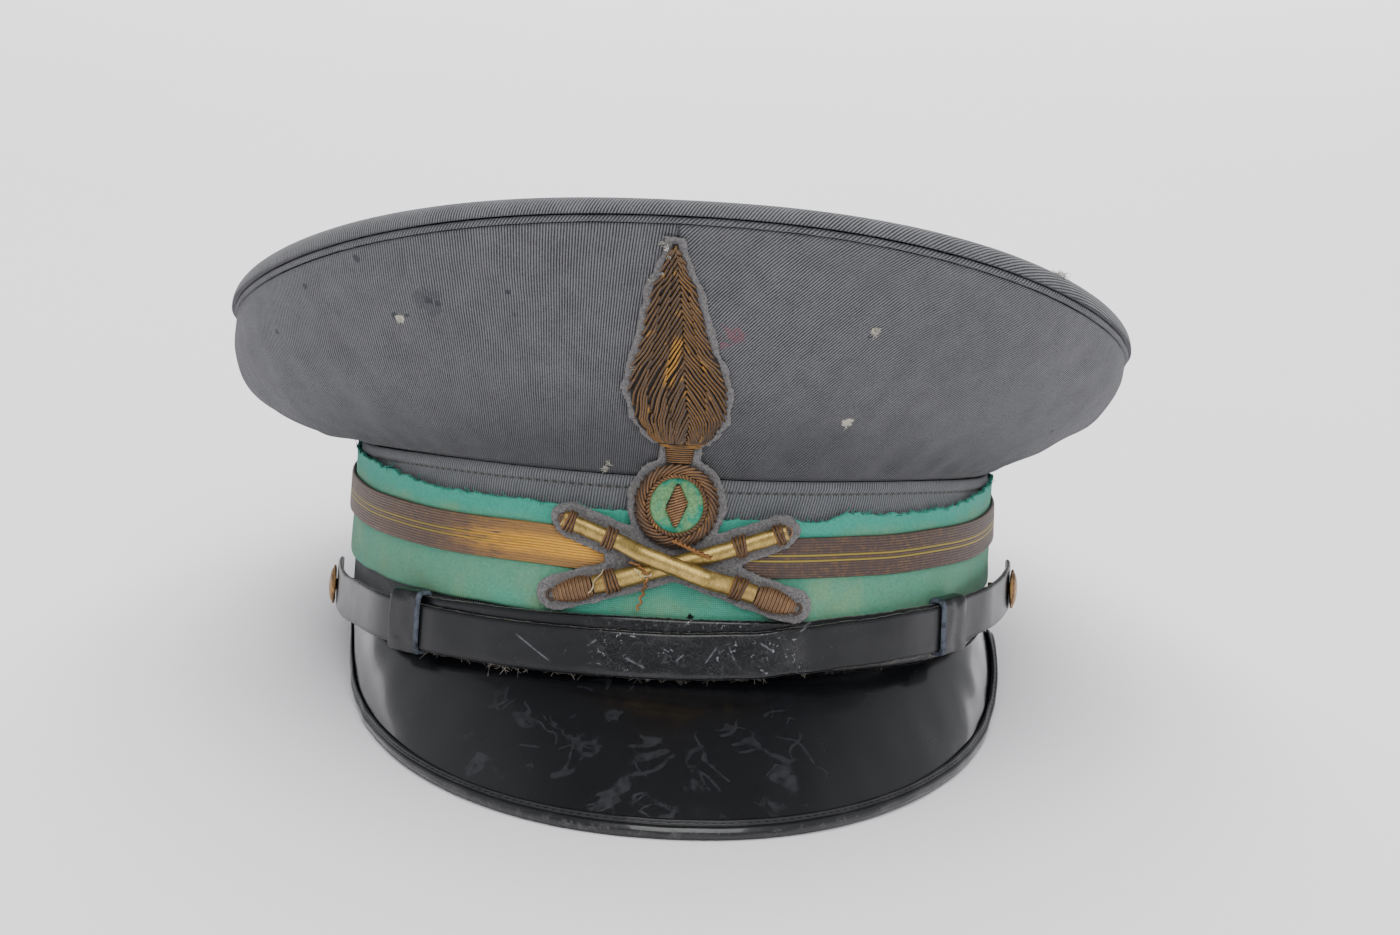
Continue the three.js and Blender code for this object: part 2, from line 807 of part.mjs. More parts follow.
// Cloth disc inside the ring, and the lozenge on it.
const groundSections = [];
for (let i = 0; i < roundelSteps; i++) {
  const angle = (i / roundelSteps) * 2 * Math.PI;
  const radii = [0, 0.5, 1].map((share) => share * (roundelHole - clearance));
  const top = radii.map((radius) => roundelPoint(angle, radius, badgeSeat + groundWall));
  const bottom = radii.map((radius) => roundelPoint(angle, radius, badgeSeat));
  groundSections.push(top.concat(bottom.reverse()));
}
const groundGeometry = sweptGeometry(groundSections, null);

const lozengeGeometry = padGeometry(
  [-1, -0.5, 0, 0.5, 1].map((t) => [
    roundelCentreX,
    roundelCentreZ + lozengeHalfHeight * t,
    lozengeHalfWidth * mix(1, 0.1, Math.abs(t)),
    lozengeRise,
  ]),
  badgeSeat + groundWall + clearance,
);

// Cannon barrel from the breech end to the muzzle: place along it from the crossing as a share of
// its reach to either side, and radius as a share of the cannon's.
const barrelRows = [
  [-0.64, 0.86],
  [-0.6, 0.94],
  [-0.56, 1.12],
  [-0.48, 1.12],
  [-0.46, 1.0],
  [-0.3, 1.0],
  [-0.15, 0.98],
  [0, 0.96],
  [0.15, 0.94],
  [0.32, 0.9],
  [0.5, 0.88],
  [0.52, 1.08],
  [0.64, 1.08],
  [0.66, 0.84],
  [0.88, 0.84],
  [0.91, 1.05],
  [1, 1.0],
];

// Rod along a straight course over the badge, lifted where it passes over the other cannon.
function rodGeometry(rows, slope, over) {
  const corners = 8;
  const length = Math.hypot(1, slope);
  const run = [1 / length, slope / length];
  const profile = [];
  for (let j = 0; j < corners; j++) {
    const angle = ((j + 0.5) / corners) * 2 * Math.PI;
    profile.push(new THREE.Vector2(Math.cos(angle), Math.sin(angle)));
  }
  const span = cannonRadius * 3;
  const sections = rows.map(([along, radius]) => {
    const bridge = over * (1 - smooth((Math.abs(along) - span) / span));
    const middle = badgeSeat + bridge * (cannonRise + clearance) + cannonRise / 2;
    return profile.map(({ x, y }) => {
      const aside = x * radius * cannonRadius;
      const across = crossingX + run[0] * along - run[1] * aside;
      const height = crossingZ + run[1] * along + run[0] * aside;
      return frontPoint(across, height, middle + (y * cannonRise * Math.min(radius, 1)) / 2);
    });
  });
  return sweptGeometry(sections, profile);
}

// Barrel and ribbed breech of one cannon; toMuzzle is 1 or -1 along X.
function barrelCourse(toMuzzle, muzzleReach, breechReach) {
  const rows = barrelRows.map(([share, radius]) => [
    toMuzzle * share * (share < 0 ? breechReach : muzzleReach),
    radius,
  ]);
  return toMuzzle > 0 ? rows : rows.reverse();
}

const breechRows = [
  [0, 0.95],
  [0.2, 1.25],
  [0.45, 1.2],
  [0.75, 0.85],
  [0.88, 0.5],
  [0.94, 0.62],
  [1, 0.4],
];
function breechCourse(toMuzzle, breechReach) {
  const start = -barrelRows[0][0] * breechReach + clearance;
  const rows = breechRows.map(([share, radius]) => [
    -toMuzzle * mix(start, Math.min(start + breechLength, breechReach), share),
    radius,
  ]);
  return toMuzzle > 0 ? rows.reverse() : rows;
}

const upperBarrel = rodGeometry(barrelCourse(-1, upperMuzzleReach, upperBreechReach), upperSlope, 1);
const upperBreech = rodGeometry(breechCourse(-1, upperBreechReach), upperSlope, 1);
const lowerBarrel = rodGeometry(barrelCourse(1, lowerMuzzleReach, lowerBreechReach), lowerSlope, 0);
const lowerBreech = rodGeometry(breechCourse(1, lowerBreechReach), lowerSlope, 0);

// Straight prism along Y over an outline of places across and heights.
function prismSolid(outline) {
  const near = -rimHalfLength * 1.5;
  const sections = [near, 0].map((y) => outline.map(([x, z]) => new THREE.Vector3(x, y, z)));
  const profile = outline.map(([x, z]) => new THREE.Vector2(x, z));
  return solidOf(sweptGeometry(sections, profile));
}

function circleOutline(radius) {
  return Array.from({ length: 28 }, (_, i) => {
    const angle = (i / 28) * 2 * Math.PI;
    return [roundelCentreX + radius * Math.sin(angle), roundelCentreZ + radius * Math.cos(angle)];
  });
}

function capsuleOutline(slope, left, right) {
  const length = Math.hypot(1, slope);
  const run = [1 / length, slope / length];
  const half = cannonRadius + feltMargin;
  const round = 2 * half;
  const ends = [
    [right + feltMargin - round, -90],
    [round - left - feltMargin, 90],
  ];
  return ends.flatMap(([along, start]) =>
    [0, 30, 60, 90, 120, 150, 180].map((turn) => {
      const angle = (start + turn) * degrees;
      const forward = along + round * Math.cos(angle);
      const aside = half * Math.sin(angle);
      return [
        crossingX + run[0] * forward - run[1] * aside,
        crossingZ + run[1] * forward + run[0] * aside,
      ];
    }),
  );
}

// Outline of the flame with its neck, widened by the felt's margin.
function flameOutline() {
  const rows = flameRows.map(flameAt);
  rows.unshift([roundelCentreX, roundelCentreZ, neckHalfWidth], [roundelCentreX, neckTop, neckHalfWidth]);
  const right = rows.map(([x, z, half]) => [x + half + feltMargin, z]);
  const left = rows.map(([x, z, half]) => [x - half - feltMargin, z]);
  return right.concat([[0, flameTop + feltMargin]], left.reverse());
}

// Felt: a sheet over the front of the cap, cut to the joined outlines of what lies on it.
const feltStep = 6;
const feltLeft = crossingX - upperMuzzleReach - 2 * feltStep;
const feltRight = crossingX + upperBreechReach + 2 * feltStep;
const feltTop = flameTop + 2 * feltMargin;
const feltColumns = Math.round((feltRight - feltLeft) / feltStep);
const feltHeights = [0, 0.4, 0.7, 1].map((share) => share * stepBottom);
feltHeights.push(...[0.2, 0.4, 0.6, 0.8, 1].map((share) => stepBottom + share * stepHeight));
feltHeights.push(...[0.2, 0.4, 0.6, 0.8, 1].map((share) => mix(bandHeightFront, feltTop, share)));
const feltSections = [];
for (let i = 0; i <= feltColumns; i++) {
  const across = mix(feltLeft, feltRight, i / feltColumns);
  const outer = feltHeights.map((height) => frontPoint(across, height, feltWall));
  const inner = feltHeights.map((height) => frontPoint(across, height, 0));
  feltSections.push(outer.concat(inner.reverse()));
}
const feltOutlines = [
  flameOutline(),
  circleOutline(roundelRadius + feltMargin),
  capsuleOutline(upperSlope, upperMuzzleReach, upperBreechReach),
  capsuleOutline(lowerSlope, lowerBreechReach, lowerMuzzleReach),
];
const feltCutter = feltOutlines.map(prismSolid).reduce((joined, solid) => joined.add(solid));
const feltSheet = solidOf(sweptGeometry(feltSections, sheetProfile(feltHeights.length - 1)));
const feltGeometry = geometryOf(feltSheet.intersect(feltCutter));

addPiece("crown_top", topGeometry, greyCloth, 0.95, 0);
addPiece("crown_side", wallGeometry, greyCloth, 0.95, 0);
addPiece("rim_piping", weltGeometry, greyCloth, 0.95, 0);
addPiece("band", pressed(bandGeometry), greyCloth, 0.95, 0);
addPiece("green_band", greenGeometry, greenCloth, 0.95, 0);
addPiece("gold_braid", braidGeometry, braidBrown, 0.7, 0.3);
addPiece("peak", peakGeometry, patentBlack, 0.2, 0);
addPiece("peak_binding", pressed(bindingGeometry), patentBlack, 0.35, 0);
addPiece("strap_front", leftEnd.strap, patentBlack, 0.3, 0);
addPiece("strap_rear", rightEnd.strap, patentBlack, 0.3, 0);
addPiece("slider_left", sliderGeometry(leftSliderAt), patentBlack, 0.35, 0);
addPiece("slider_right", sliderGeometry(rightSliderAt), patentBlack, 0.35, 0);
addPiece("button_left", leftEnd.button, cannonBrass, 0.4, 1);
addPiece("button_right", rightEnd.button, cannonBrass, 0.4, 1);
addPiece("badge_felt", feltGeometry, feltGrey, 1, 0);
addPiece("flame", flameGeometry, bullionGold, 0.5, 0.7);
addPiece("flame_neck", neckGeometry, bullionGold, 0.5, 0.7);
addPiece("roundel_ring", roundelGeometry, bullionGold, 0.5, 0.7);
addPiece("roundel_ground", groundGeometry, greenCloth, 0.95, 0);
addPiece("roundel_lozenge", lozengeGeometry, bullionGold, 0.5, 0.7);
addPiece("cannon_upper", upperBarrel, cannonBrass, 0.45, 0.8);
addPiece("cannon_upper_breech", upperBreech, bullionGold, 0.5, 0.7);
addPiece("cannon_lower", lowerBarrel, cannonBrass, 0.45, 0.8);
addPiece("cannon_lower_breech", lowerBreech, bullionGold, 0.5, 0.7);

// The cap is pitched onto its resting plane, with its origin under the middle of its outline.
cap.rotation.x = -pitch;
cap.position.z = backReach * Math.sin(pitch) - floorTrim * Math.cos(pitch);
cap.updateMatrixWorld(true);
const outline = new THREE.Box3().setFromObject(cap, true);
cap.position.x = -(outline.min.x + outline.max.x) / 2;
cap.position.y = -(outline.min.y + outline.max.y) / 2;

const group = new THREE.Group();
group.add(cap);
group.updateMatrixWorld(true);

export default group;
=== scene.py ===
import math
import bpy
import bmesh
import numpy as np
from mathutils import Matrix, Vector


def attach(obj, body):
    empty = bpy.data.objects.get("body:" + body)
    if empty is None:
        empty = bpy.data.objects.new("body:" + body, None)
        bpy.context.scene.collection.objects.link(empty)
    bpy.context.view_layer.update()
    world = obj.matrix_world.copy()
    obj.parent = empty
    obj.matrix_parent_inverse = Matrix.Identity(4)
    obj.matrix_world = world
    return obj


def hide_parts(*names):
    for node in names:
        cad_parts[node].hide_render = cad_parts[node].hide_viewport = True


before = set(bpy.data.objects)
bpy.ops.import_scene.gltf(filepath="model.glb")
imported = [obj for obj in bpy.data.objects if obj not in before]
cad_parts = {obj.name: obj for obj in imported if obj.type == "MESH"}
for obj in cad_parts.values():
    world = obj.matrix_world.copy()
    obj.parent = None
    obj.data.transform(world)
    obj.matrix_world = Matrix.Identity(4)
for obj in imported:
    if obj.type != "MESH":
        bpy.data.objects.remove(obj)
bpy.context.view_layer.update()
print("frame loaded")

# The cap's own axes: the head opening lies in XY, the front faces -Y and +Z is up, in millimetres.
# The whole cap is pitched back onto the edge of its peak and the back of its band.
form = {
    "clearance": 0.3, "floorTrim": 0.4, "clothWall": 2.0,
    "bandHalfWidth": 86.9, "bandHalfLength": 104.0, "bandTaper": 0.0186, "power": 2.2,
    "bandHeightFront": 46.5, "bandHeightSide": 40.0, "bandOuter": -1.3, "bandWall": 2.0,
    "rimHalfWidth": 118.3, "rimHalfLength": 128.0, "rimOffset": 2.0,
    "rimHeightFront": 108.0, "rimHeightSide": 67.0, "rimHeightBack": 55.0, "rimSkew": 0.9,
    "peakOverhang": 34.0, "peakDrop": 32.5, "forwardShift": 3.8055, "lift": 13.5119,
}
backReach = form["bandHalfLength"] + form["bandOuter"]
peakReach = form["bandHalfLength"] + form["peakOverhang"]
pitch = math.atan2(form["peakDrop"] + form["floorTrim"], peakReach + backReach)


def smooth(t):
    s = np.clip(t, 0.0, 1.0)
    return s * s * (3 - 2 * s)


def mix(a, b, t):
    return a + (b - a) * t


# Value at x in a table with a rising first column, by a smooth step between rows.
def lookUp(rows, x, column):
    table = np.asarray(rows, float)
    x = np.asarray(x, float)
    after = np.clip(np.searchsorted(table[:, 0], x), 1, len(table) - 1)
    low, high = table[after - 1], table[after]
    t = smooth((x - low[..., 0]) / (high[..., 0] - low[..., 0]))
    return mix(low[..., column], high[..., column], t)


def stack(x, y, z):
    return np.stack(np.broadcast_arrays(x, y, z), -1).astype(float)


def unit(v):
    return v / np.maximum(np.linalg.norm(v, axis=-1, keepdims=True), 1e-12)


# Level direction away from the middle of the cap
def levelOut(points):
    return unit(points * [1, 1, 0])


# 1 at a centre, falling off to both sides over a width
def bell(x, centre, width):
    return np.exp(-((x - centre) / width) ** 2)


# Even steps as a row, for the second direction of a grid
def row(low, high, count):
    return np.linspace(low, high, count)[None, :]


# Angles of a full turn, the last one left out
def turns(count, start=0.0):
    return np.linspace(start, start + 2 * math.pi, count, endpoint=False)


# A power that keeps the sign of its base
def signedPower(base, power):
    return np.sign(base) * np.abs(base) ** power


# Quarter circle: 1 up to 0, falling to 0 at 1
def roundedEnd(past):
    return np.sqrt(1 - np.clip(past, 0, 1) ** 2)


# Arched section of a pad from edge to edge, at -1 and 1, with a low wall at both
def padDome(s):
    return 0.3 + 0.7 * np.sqrt(np.clip(1 - s * s, 0, 1))


# Unit normal of a surface that a function of two numbers gives, from its differences over a small step
def surfaceNormal(point, a, b, step=1e-3):
    alongA, alongB = point(a + step, b) - point(a - step, b), point(a, b + step) - point(a, b - step)
    return unit(np.cross(alongA, alongB))


def addObject(name, data):
    made = bpy.data.objects.new(name, data)
    bpy.context.scene.collection.objects.link(made)
    return made


# Cap axes in millimetres to the shared frame in metres: a turn about X, a shift and a scale.
def toRow(points):
    x, y, z = points[..., 0], points[..., 1], points[..., 2]
    rowY = y * math.cos(pitch) + z * math.sin(pitch) + form["forwardShift"]
    rowZ = -y * math.sin(pitch) + z * math.cos(pitch) + form["lift"]
    return stack(x, rowY, rowZ) / 1000


# Smooth random field over space: a sum of cosine waves of random direction and phase, about -1 to 1.
def ripples(points, size, seed, waves=24):
    rng = np.random.default_rng(seed)
    directions = unit(rng.normal(size=(waves, 3)))
    strength = 2 * math.pi / size * rng.uniform(0.6, 1.5, waves)
    phases = rng.uniform(0, 2 * math.pi, waves)
    total = np.zeros(points.shape[:-1])
    for direction, k, phase in zip(directions, strength, phases):
        total += np.cos(points @ direction * k + phase)
    return total / math.sqrt(waves)


# Quads over a grid of points, with a UV per corner and a tone per point, turned to face outwards: the
# sum of the tetrahedra from the origin to the quads tells which way they face.
def gridPart(points, closedU=False, closedV=False, uv=None, tone=0.0):
    countU, countV = points.shape[:2]
    i, j = np.meshgrid(np.arange(countU - (not closedU)), np.arange(countV - (not closedV)), indexing="ij")
    corners = [(i, j), (i + 1, j), (i + 1, j + 1), (i, j + 1)]
    quads = np.stack([(a % countU) * countV + b % countV for a, b in corners], -1).reshape(-1, 4)
    if uv is None:
        uv = arcUv(points, closedU, closedV)
    cornerUv = np.stack([uv[a, b] for a, b in corners], -2).reshape(-1, 4, 2)
    tones = np.broadcast_to(np.asarray(tone, float), (countU, countV)).ravel()
    flat = points.reshape(-1, 3)
    a, b, c, d = (flat[quads[:, k]] - flat.mean(0) for k in range(4))
    volume = (np.cross(b, c) * a).sum() + (np.cross(c, d) * a).sum()
    if volume < 0:
        quads, cornerUv = quads[:, ::-1], cornerUv[:, ::-1]
    return flat, quads, cornerUv, tones


# UV of a grid in tenths of a metre: length along each direction, at the middle of the other one.
def arcUv(points, closedU=False, closedV=False):
    def lengths(line, closed):
        if closed:
            line = np.concatenate([line, line[:1]])
        return np.concatenate([[0], np.cumsum(np.linalg.norm(np.diff(line, axis=0), axis=1))])
    u = lengths(points[:, points.shape[1] // 2], closedU)
    v = lengths(points[points.shape[0] // 2], closedV)
    return np.stack(np.meshgrid(u, v, indexing="ij"), -1) / 100


# An open sweep of closed sections, with a last ring at the middle of each end that closes it; the
# last rings take the tones of the rows beside them.
def sweepPart(sections, tone=0.0):
    first, last = (
        np.broadcast_to(end.mean(axis=1, keepdims=True), end.shape) for end in (sections[:1], sections[-1:]))
    tones = np.broadcast_to(np.asarray(tone, float), sections.shape[:2])
    tones = np.concatenate([tones[:1], tones, tones[-1:]])
    return gridPart(np.concatenate([first, sections, last]), False, True, tone=tones)


# Round tubes along many paths at once: paths are strands x points x 3, the radius may vary.
def tubeParts(paths, radius, sides=6, tone=0.0, outward=(0.0, -1.0, 0.2)):
    tangent = unit(np.gradient(paths, axis=1))
    side = unit(np.cross(tangent, np.asarray(outward, float)))
    up = np.cross(side, tangent)
    radii = np.broadcast_to(np.asarray(radius, float), paths.shape[:2]).copy()
    angle = turns(sides)[:, None]
    section = np.cos(angle) * side[:, :, None] + np.sin(angle) * up[:, :, None]
    rings = paths[:, :, None] + radii[..., None, None] * section
    tones = np.broadcast_to(np.asarray(tone, float), (len(paths),))
    return [sweepPart(ring, value) for ring, value in zip(rings, tones)]


# One object from grid parts given in the cap's axes: pressed onto the floor, doubled points merged.
def makePiece(name, parts, slotName, material, *replaced):
    start, points, quads, cornerUv, tones = 0, [], [], [], []
    for partPoints, partQuads, partUv, partTones in parts:
        points.append(partPoints)
        quads.append(partQuads + start)
        cornerUv.append(partUv)
        tones.append(partTones)
        start += len(partPoints)
    placed = toRow(np.concatenate(points))
    placed[:, 2] = np.maximum(placed[:, 2], 0.0)
    faces = np.concatenate(quads).astype(np.int32)
    mesh = bpy.data.meshes.new(name)
    mesh.vertices.add(len(placed))
    mesh.vertices.foreach_set("co", placed.astype(np.float32).ravel())
    mesh.loops.add(faces.size)
    mesh.loops.foreach_set("vertex_index", faces.ravel())
    mesh.polygons.add(len(faces))
    mesh.polygons.foreach_set("loop_start", np.arange(len(faces), dtype=np.int32) * 4)
    mesh.update(calc_edges=True)
    uv = np.concatenate(cornerUv).astype(np.float32)
    mesh.uv_layers.new(name="weave").data.foreach_set("uv", uv.ravel())
    tone = mesh.attributes.new("tone", "FLOAT", "POINT")
    tone.data.foreach_set("value", np.concatenate(tones).astype(np.float32))
    shape = bmesh.new()
    shape.from_mesh(mesh)
    bmesh.ops.remove_doubles(shape, verts=shape.verts, dist=2e-7)
    shape.to_mesh(mesh)
    shape.free()
    mesh.polygons.foreach_set("use_smooth", np.ones(len(mesh.polygons), bool))
    mesh.materials.append(material)
    piece = addObject(name, mesh)
    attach(piece, "root")
    if replaced:
        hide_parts(*replaced)
    print(name, "made,", len(mesh.polygons), "faces")
    return piece


# A method that adds one Math node; a reflected one takes its two values the other way round.
def mathMethod(operation, reflected=False):
    def method(self, *others):
        values = (self, *others)
        return self.math(operation, *(values[::-1] if reflected else values))
    return method


# A socket whose arithmetic adds Math nodes.
class Wire:
    def __init__(self, recipe, socket):
        self.recipe, self.socket = recipe, socket

    def math(self, operation, *values):
        return self.recipe.node("ShaderNodeMath", {"operation": operation}, dict(enumerate(values)))

    __add__, __radd__ = mathMethod("ADD"), mathMethod("ADD", True)
    __sub__, __rsub__ = mathMethod("SUBTRACT"), mathMethod("SUBTRACT", True)
    __mul__, __rmul__ = mathMethod("MULTIPLY"), mathMethod("MULTIPLY", True)
    __truediv__, __abs__ = mathMethod("DIVIDE"), mathMethod("ABSOLUTE")
    sine, most, least = mathMethod("SINE"), mathMethod("MAXIMUM"), mathMethod("MINIMUM")

    # 0 below low, 1 above high, eased between them
    def step(self, low, high):
        settings = {"interpolation_type": "SMOOTHSTEP"}
        return self.recipe.node("ShaderNodeMapRange", settings, {0: self, 1: low, 2: high, 3: 0.0, 4: 1.0})


# A material under construction.
class Recipe:
    def __init__(self, name, **constants):
        self.material = bpy.data.materials.new(name)
        self.material.use_nodes = True
        self.tree = self.material.node_tree
        self.tree.nodes.clear()
        self.shader = self.tree.nodes.new("ShaderNodeBsdfPrincipled")
        output = self.tree.nodes.new("ShaderNodeOutputMaterial")
        self.tree.links.new(self.shader.outputs[0], output.inputs[0])
        self.colour = None
        for key, value in constants.items():
            self.shader.inputs[key.replace("_", " ")].default_value = value

    def put(self, socket, value):
        if isinstance(value, Wire):
            self.tree.links.new(value.socket, socket)
        else:
            socket.default_value = value

    # Any node: its type, its settings, its inputs by index or name
    def node(self, kind, settings=None, inputs=None, output=0):
        made = self.tree.nodes.new(kind)
        for key, value in (settings or {}).items():
            setattr(made, key, value)
        for key, value in (inputs or {}).items():
            self.put(made.inputs[key], value)
        return Wire(self, made.outputs[output])

    def place(self):
        return self.node("ShaderNodeTexCoord", output="Object")

    def weave(self):
        uv = self.node("ShaderNodeUVMap", {"uv_map": "weave"})
        return [self.node("ShaderNodeSeparateXYZ", {}, {0: uv}, axis) * 100 for axis in (0, 1)]

    def tone(self):
        return self.node("ShaderNodeAttribute", {"attribute_name": "tone"}, output="Fac")

    # Noise over a place in metres, with features of about so many millimetres
    def noise(self, size, detail=3.0, rough=0.55, twist=0.0, at=None):
        inputs = {
            "Vector": at or self.place(), "Scale": 1000 / size,
            "Detail": detail, "Roughness": rough, "Distortion": twist,
        }
        return self.node("ShaderNodeTexNoise", {}, inputs)

    def join(self, x, y, z=0.0):
        return self.node("ShaderNodeCombineXYZ", {}, {0: x, 1: y, 2: z})

    def blend(self, factor, a, b):
        return self.node("ShaderNodeMix", {"data_type": "RGBA"}, {0: factor, 6: a, 7: b}, 2)

    # Lays a colour, given by its eye values, over the colour so far
    def tint(self, factor, *colour):
        self.colour = self.blend(factor, self.colour, eye(*colour))

    # 1 along straight lines of the front given by x and height at both ends in the shared frame,
    # 0 beyond a width, all in millimetres
    def strokes(self, lines, width):
        parts = self.node("ShaderNodeSeparateXYZ", {}, {0: self.place()})
        x, z = parts * 1000, Wire(self, parts.socket.node.outputs[2]) * 1000
        total = None
        for x0, z0, x1, z1 in lines:
            length = math.hypot(x1 - x0, z1 - z0)
            cx, cz, rx, rz = (x0 + x1) / 2, (z0 + z1) / 2, (x1 - x0) / length, (z1 - z0) / length
            aside = abs((x - cx) * rz - (z - cz) * rx)
            along = abs((x - cx) * rx + (z - cz) * rz)
            line = (1 - aside.step(width * 0.4, width)) * (1 - along.step(length * 0.3, length * 0.5))
            total = line if total is None else total.most(line)
        return total

    # 1 within a radius of a point of the cap's axes, 0 beyond, with a ragged edge
    def spot(self, centre, radius, ragged=0.4):
        target = tuple(float(v) for v in toRow(np.array(centre, float)))
        inputs = {0: self.place(), 1: target}
        away = self.node("ShaderNodeVectorMath", {"operation": "DISTANCE"}, inputs, "Value")
        uneven = away * 1000 + (self.noise(radius * 0.7) - 0.5) * radius * 2 * ragged
        return 1 - uneven.step(radius * 0.7, radius)

    def finish(self, roughness, height=None, depth=0.1, metal=None):
        self.put(self.shader.inputs["Base Color"], self.colour)
        self.put(self.shader.inputs["Roughness"], roughness)
        if metal is not None:
            self.put(self.shader.inputs["Metallic"], metal)
        if height is not None:
            inputs = {"Strength": 1.0, "Distance": depth / 1000, "Height": height}
            self.put(self.shader.inputs["Normal"], self.node("ShaderNodeBump", {}, inputs))
        return self.material


# Colour by its eye values from 0 to 255
def eye(r, g, b):
    shares = [c / 255 for c in (r, g, b)]
    return tuple(c / 12.92 if c < 0.04045 else ((c + 0.055) / 1.055) ** 2.4 for c in shares) + (1.0,)


# Rounded oval at an angle from the front, as shares of its half width and half length: each axis is
# the sine or cosine raised to 2 / power with its sign kept.
def ovalShare(theta, power=form["power"]):
    s, c = np.sin(theta), np.cos(theta)
    return signedPower(s, 2 / power), -signedPower(c, 2 / power)


# Band's outer oval at a height, moved outwards by a standoff.
def bandPoint(theta, height, standoff):
    x, y = ovalShare(theta)
    narrowing = 1 - form["bandTaper"] * height / form["bandHeightFront"]
    halfWidth = form["bandHalfWidth"] * narrowing + standoff
    halfLength = form["bandHalfLength"] * narrowing + standoff
    return stack(x * halfWidth, y * halfLength, height)


def seamHeight(theta):
    return mix(form["bandHeightSide"], form["bandHeightFront"], smooth((np.cos(theta) + 0.1) / 1.1))


# Rim height over the opening: a parabola through front, side and back heights.
def rimHeight(share):
    slope = (form["rimHeightFront"] - form["rimHeightBack"]) / 2
    saddle = (form["rimHeightFront"] + form["rimHeightBack"]) / 2 - form["rimHeightSide"]
    return form["rimHeightSide"] - slope * share + saddle * share * share


def rimPoint(theta):
    x, y = ovalShare(theta)
    height = rimHeight(y) + form["rimSkew"] * x
    return stack(x * form["rimHalfWidth"], y * form["rimHalfLength"] - form["rimOffset"], height)


around = turns(480, -math.pi)[:, None]

# Woollen twill: ribs nearly upright on the left of the front seam and slanting on its right.
twill = {
    "ribSize": 0.7, "leftSlant": 8, "rightSlant": 41, "ribDepth": 0.13,
    "light": eye(120, 121, 124), "dark": eye(26, 27, 29),
}


def clothRecipe(name, leftSlant, rightSlant, light=twill["light"], dark=twill["dark"]):
    recipe = Recipe(name, Sheen_Weight=0.12, Sheen_Roughness=0.5, Specular_IOR_Level=0.25)
    u, v = recipe.weave()
    right = u.step(-0.1, 0.1)

    def ribsAt(slant):
        turn = math.radians(slant)
        drift = (recipe.noise(9.0, 2.0) - 0.5) * 0.5
        return ((u * math.cos(turn) - v * math.sin(turn)) / twill["ribSize"] + drift) * (2 * math.pi)
    leftRibs, rightRibs = ribsAt(leftSlant).sine(), ribsAt(rightSlant).sine()
    ribs = (leftRibs + (rightRibs - leftRibs) * right) * 0.5 + 0.5
    threads = recipe.noise(0.4, 3.0, 0.65)
    mottle = recipe.noise(6.0, 4.0, 0.6)
    shade = ribs * 0.75 + threads * 0.95 + (mottle - 0.5) * 0.35 - 0.36
    recipe.colour = recipe.blend(shade.step(0.0, 1.0), dark, light)
    cloud = recipe.noise(45.0, 3.0)
    recipe.tint((cloud - 0.5) * 0.5 + 0.1, 80, 81, 82)
    height = ribs * 0.75 + threads * 0.35
    return recipe, height, (u, v)


# Crown wall: a cubic Bezier from the seam to the rim at each angle, upright in front, rolling out at
# the sides and the back; its two middle points are shares of its run and rise. Moth holes and lint are
# rows of x, height and size; stains add raggedness, strength and colour.
crown = {
    "sections": [
        [-180, 0.74, 0.08, 1.02, 0.48, 1], [-80, 0.8, 0.08, 1.04, 0.44, 1],
        [-20, 0.34, 0.34, 0.68, 0.68, 0], [20, 0.34, 0.34, 0.68, 0.68, 0],
        [80, 0.5, 0.2, 0.97, 0.57, 1], [130, 0.72, 0.08, 1.01, 0.48, 1], [180, 0.74, 0.08, 1.02, 0.48, 1],
    ],
    "lint": [[-65.3, 81.0, 1.3], [47.0, 84.6, 1.3], [41.8, 62.3, 1.7]],
    "moth": [
        [-66.4, 81.6, 1.3], [-63.5, 82.0, 0.7], [-76.1, 94.6, 1.1], [-90.3, 86.2, 1.0],
        [-98.5, 73.6, 1.1], [46.0, 83.4, 0.9], [96.0, 57.0, 0.9], [-58.0, 86.4, 1.5],
        [-55.6, 85.8, 1.2], [-39.0, 89.5, 0.9], [-37.5, 84.0, 0.8],
    ],
    "stains": [[13.1, 82.7, 3.0, 1.8, 0.32, (130, 62, 78)], [-58.0, 86.0, 3.8, 1.2, 0.35, (44, 46, 54)]],
    "rows": 64, "sag": 0.55, "sagSize": 42, "crease": 0.22, "creaseSize": 15,
    "gather": 0.5, "gatherSize": 13, "gatherAt": 0.06, "gatherSpread": 0.13,
}


def wallPoint(theta, share):
    theta, share = np.broadcast_arrays(theta, share)
    section = [lookUp(crown["sections"], np.degrees(theta), column) for column in range(1, 6)]
    foot = bandPoint(theta, seamHeight(theta), form["bandOuter"] - form["bandWall"] / 2 * section[4])
    head = rimPoint(theta)
    span = head - foot
    low = foot + span * stack(section[0], section[0], section[1])
    high = foot + span * stack(section[2], section[2], section[3])
    t = share[..., None]
    return foot * (1 - t) ** 3 + 3 * low * t * (1 - t) ** 2 + 3 * high * t * t * (1 - t) + head * t ** 3


def wallNormal(theta, share):
    return surfaceNormal(wallPoint, theta, share)


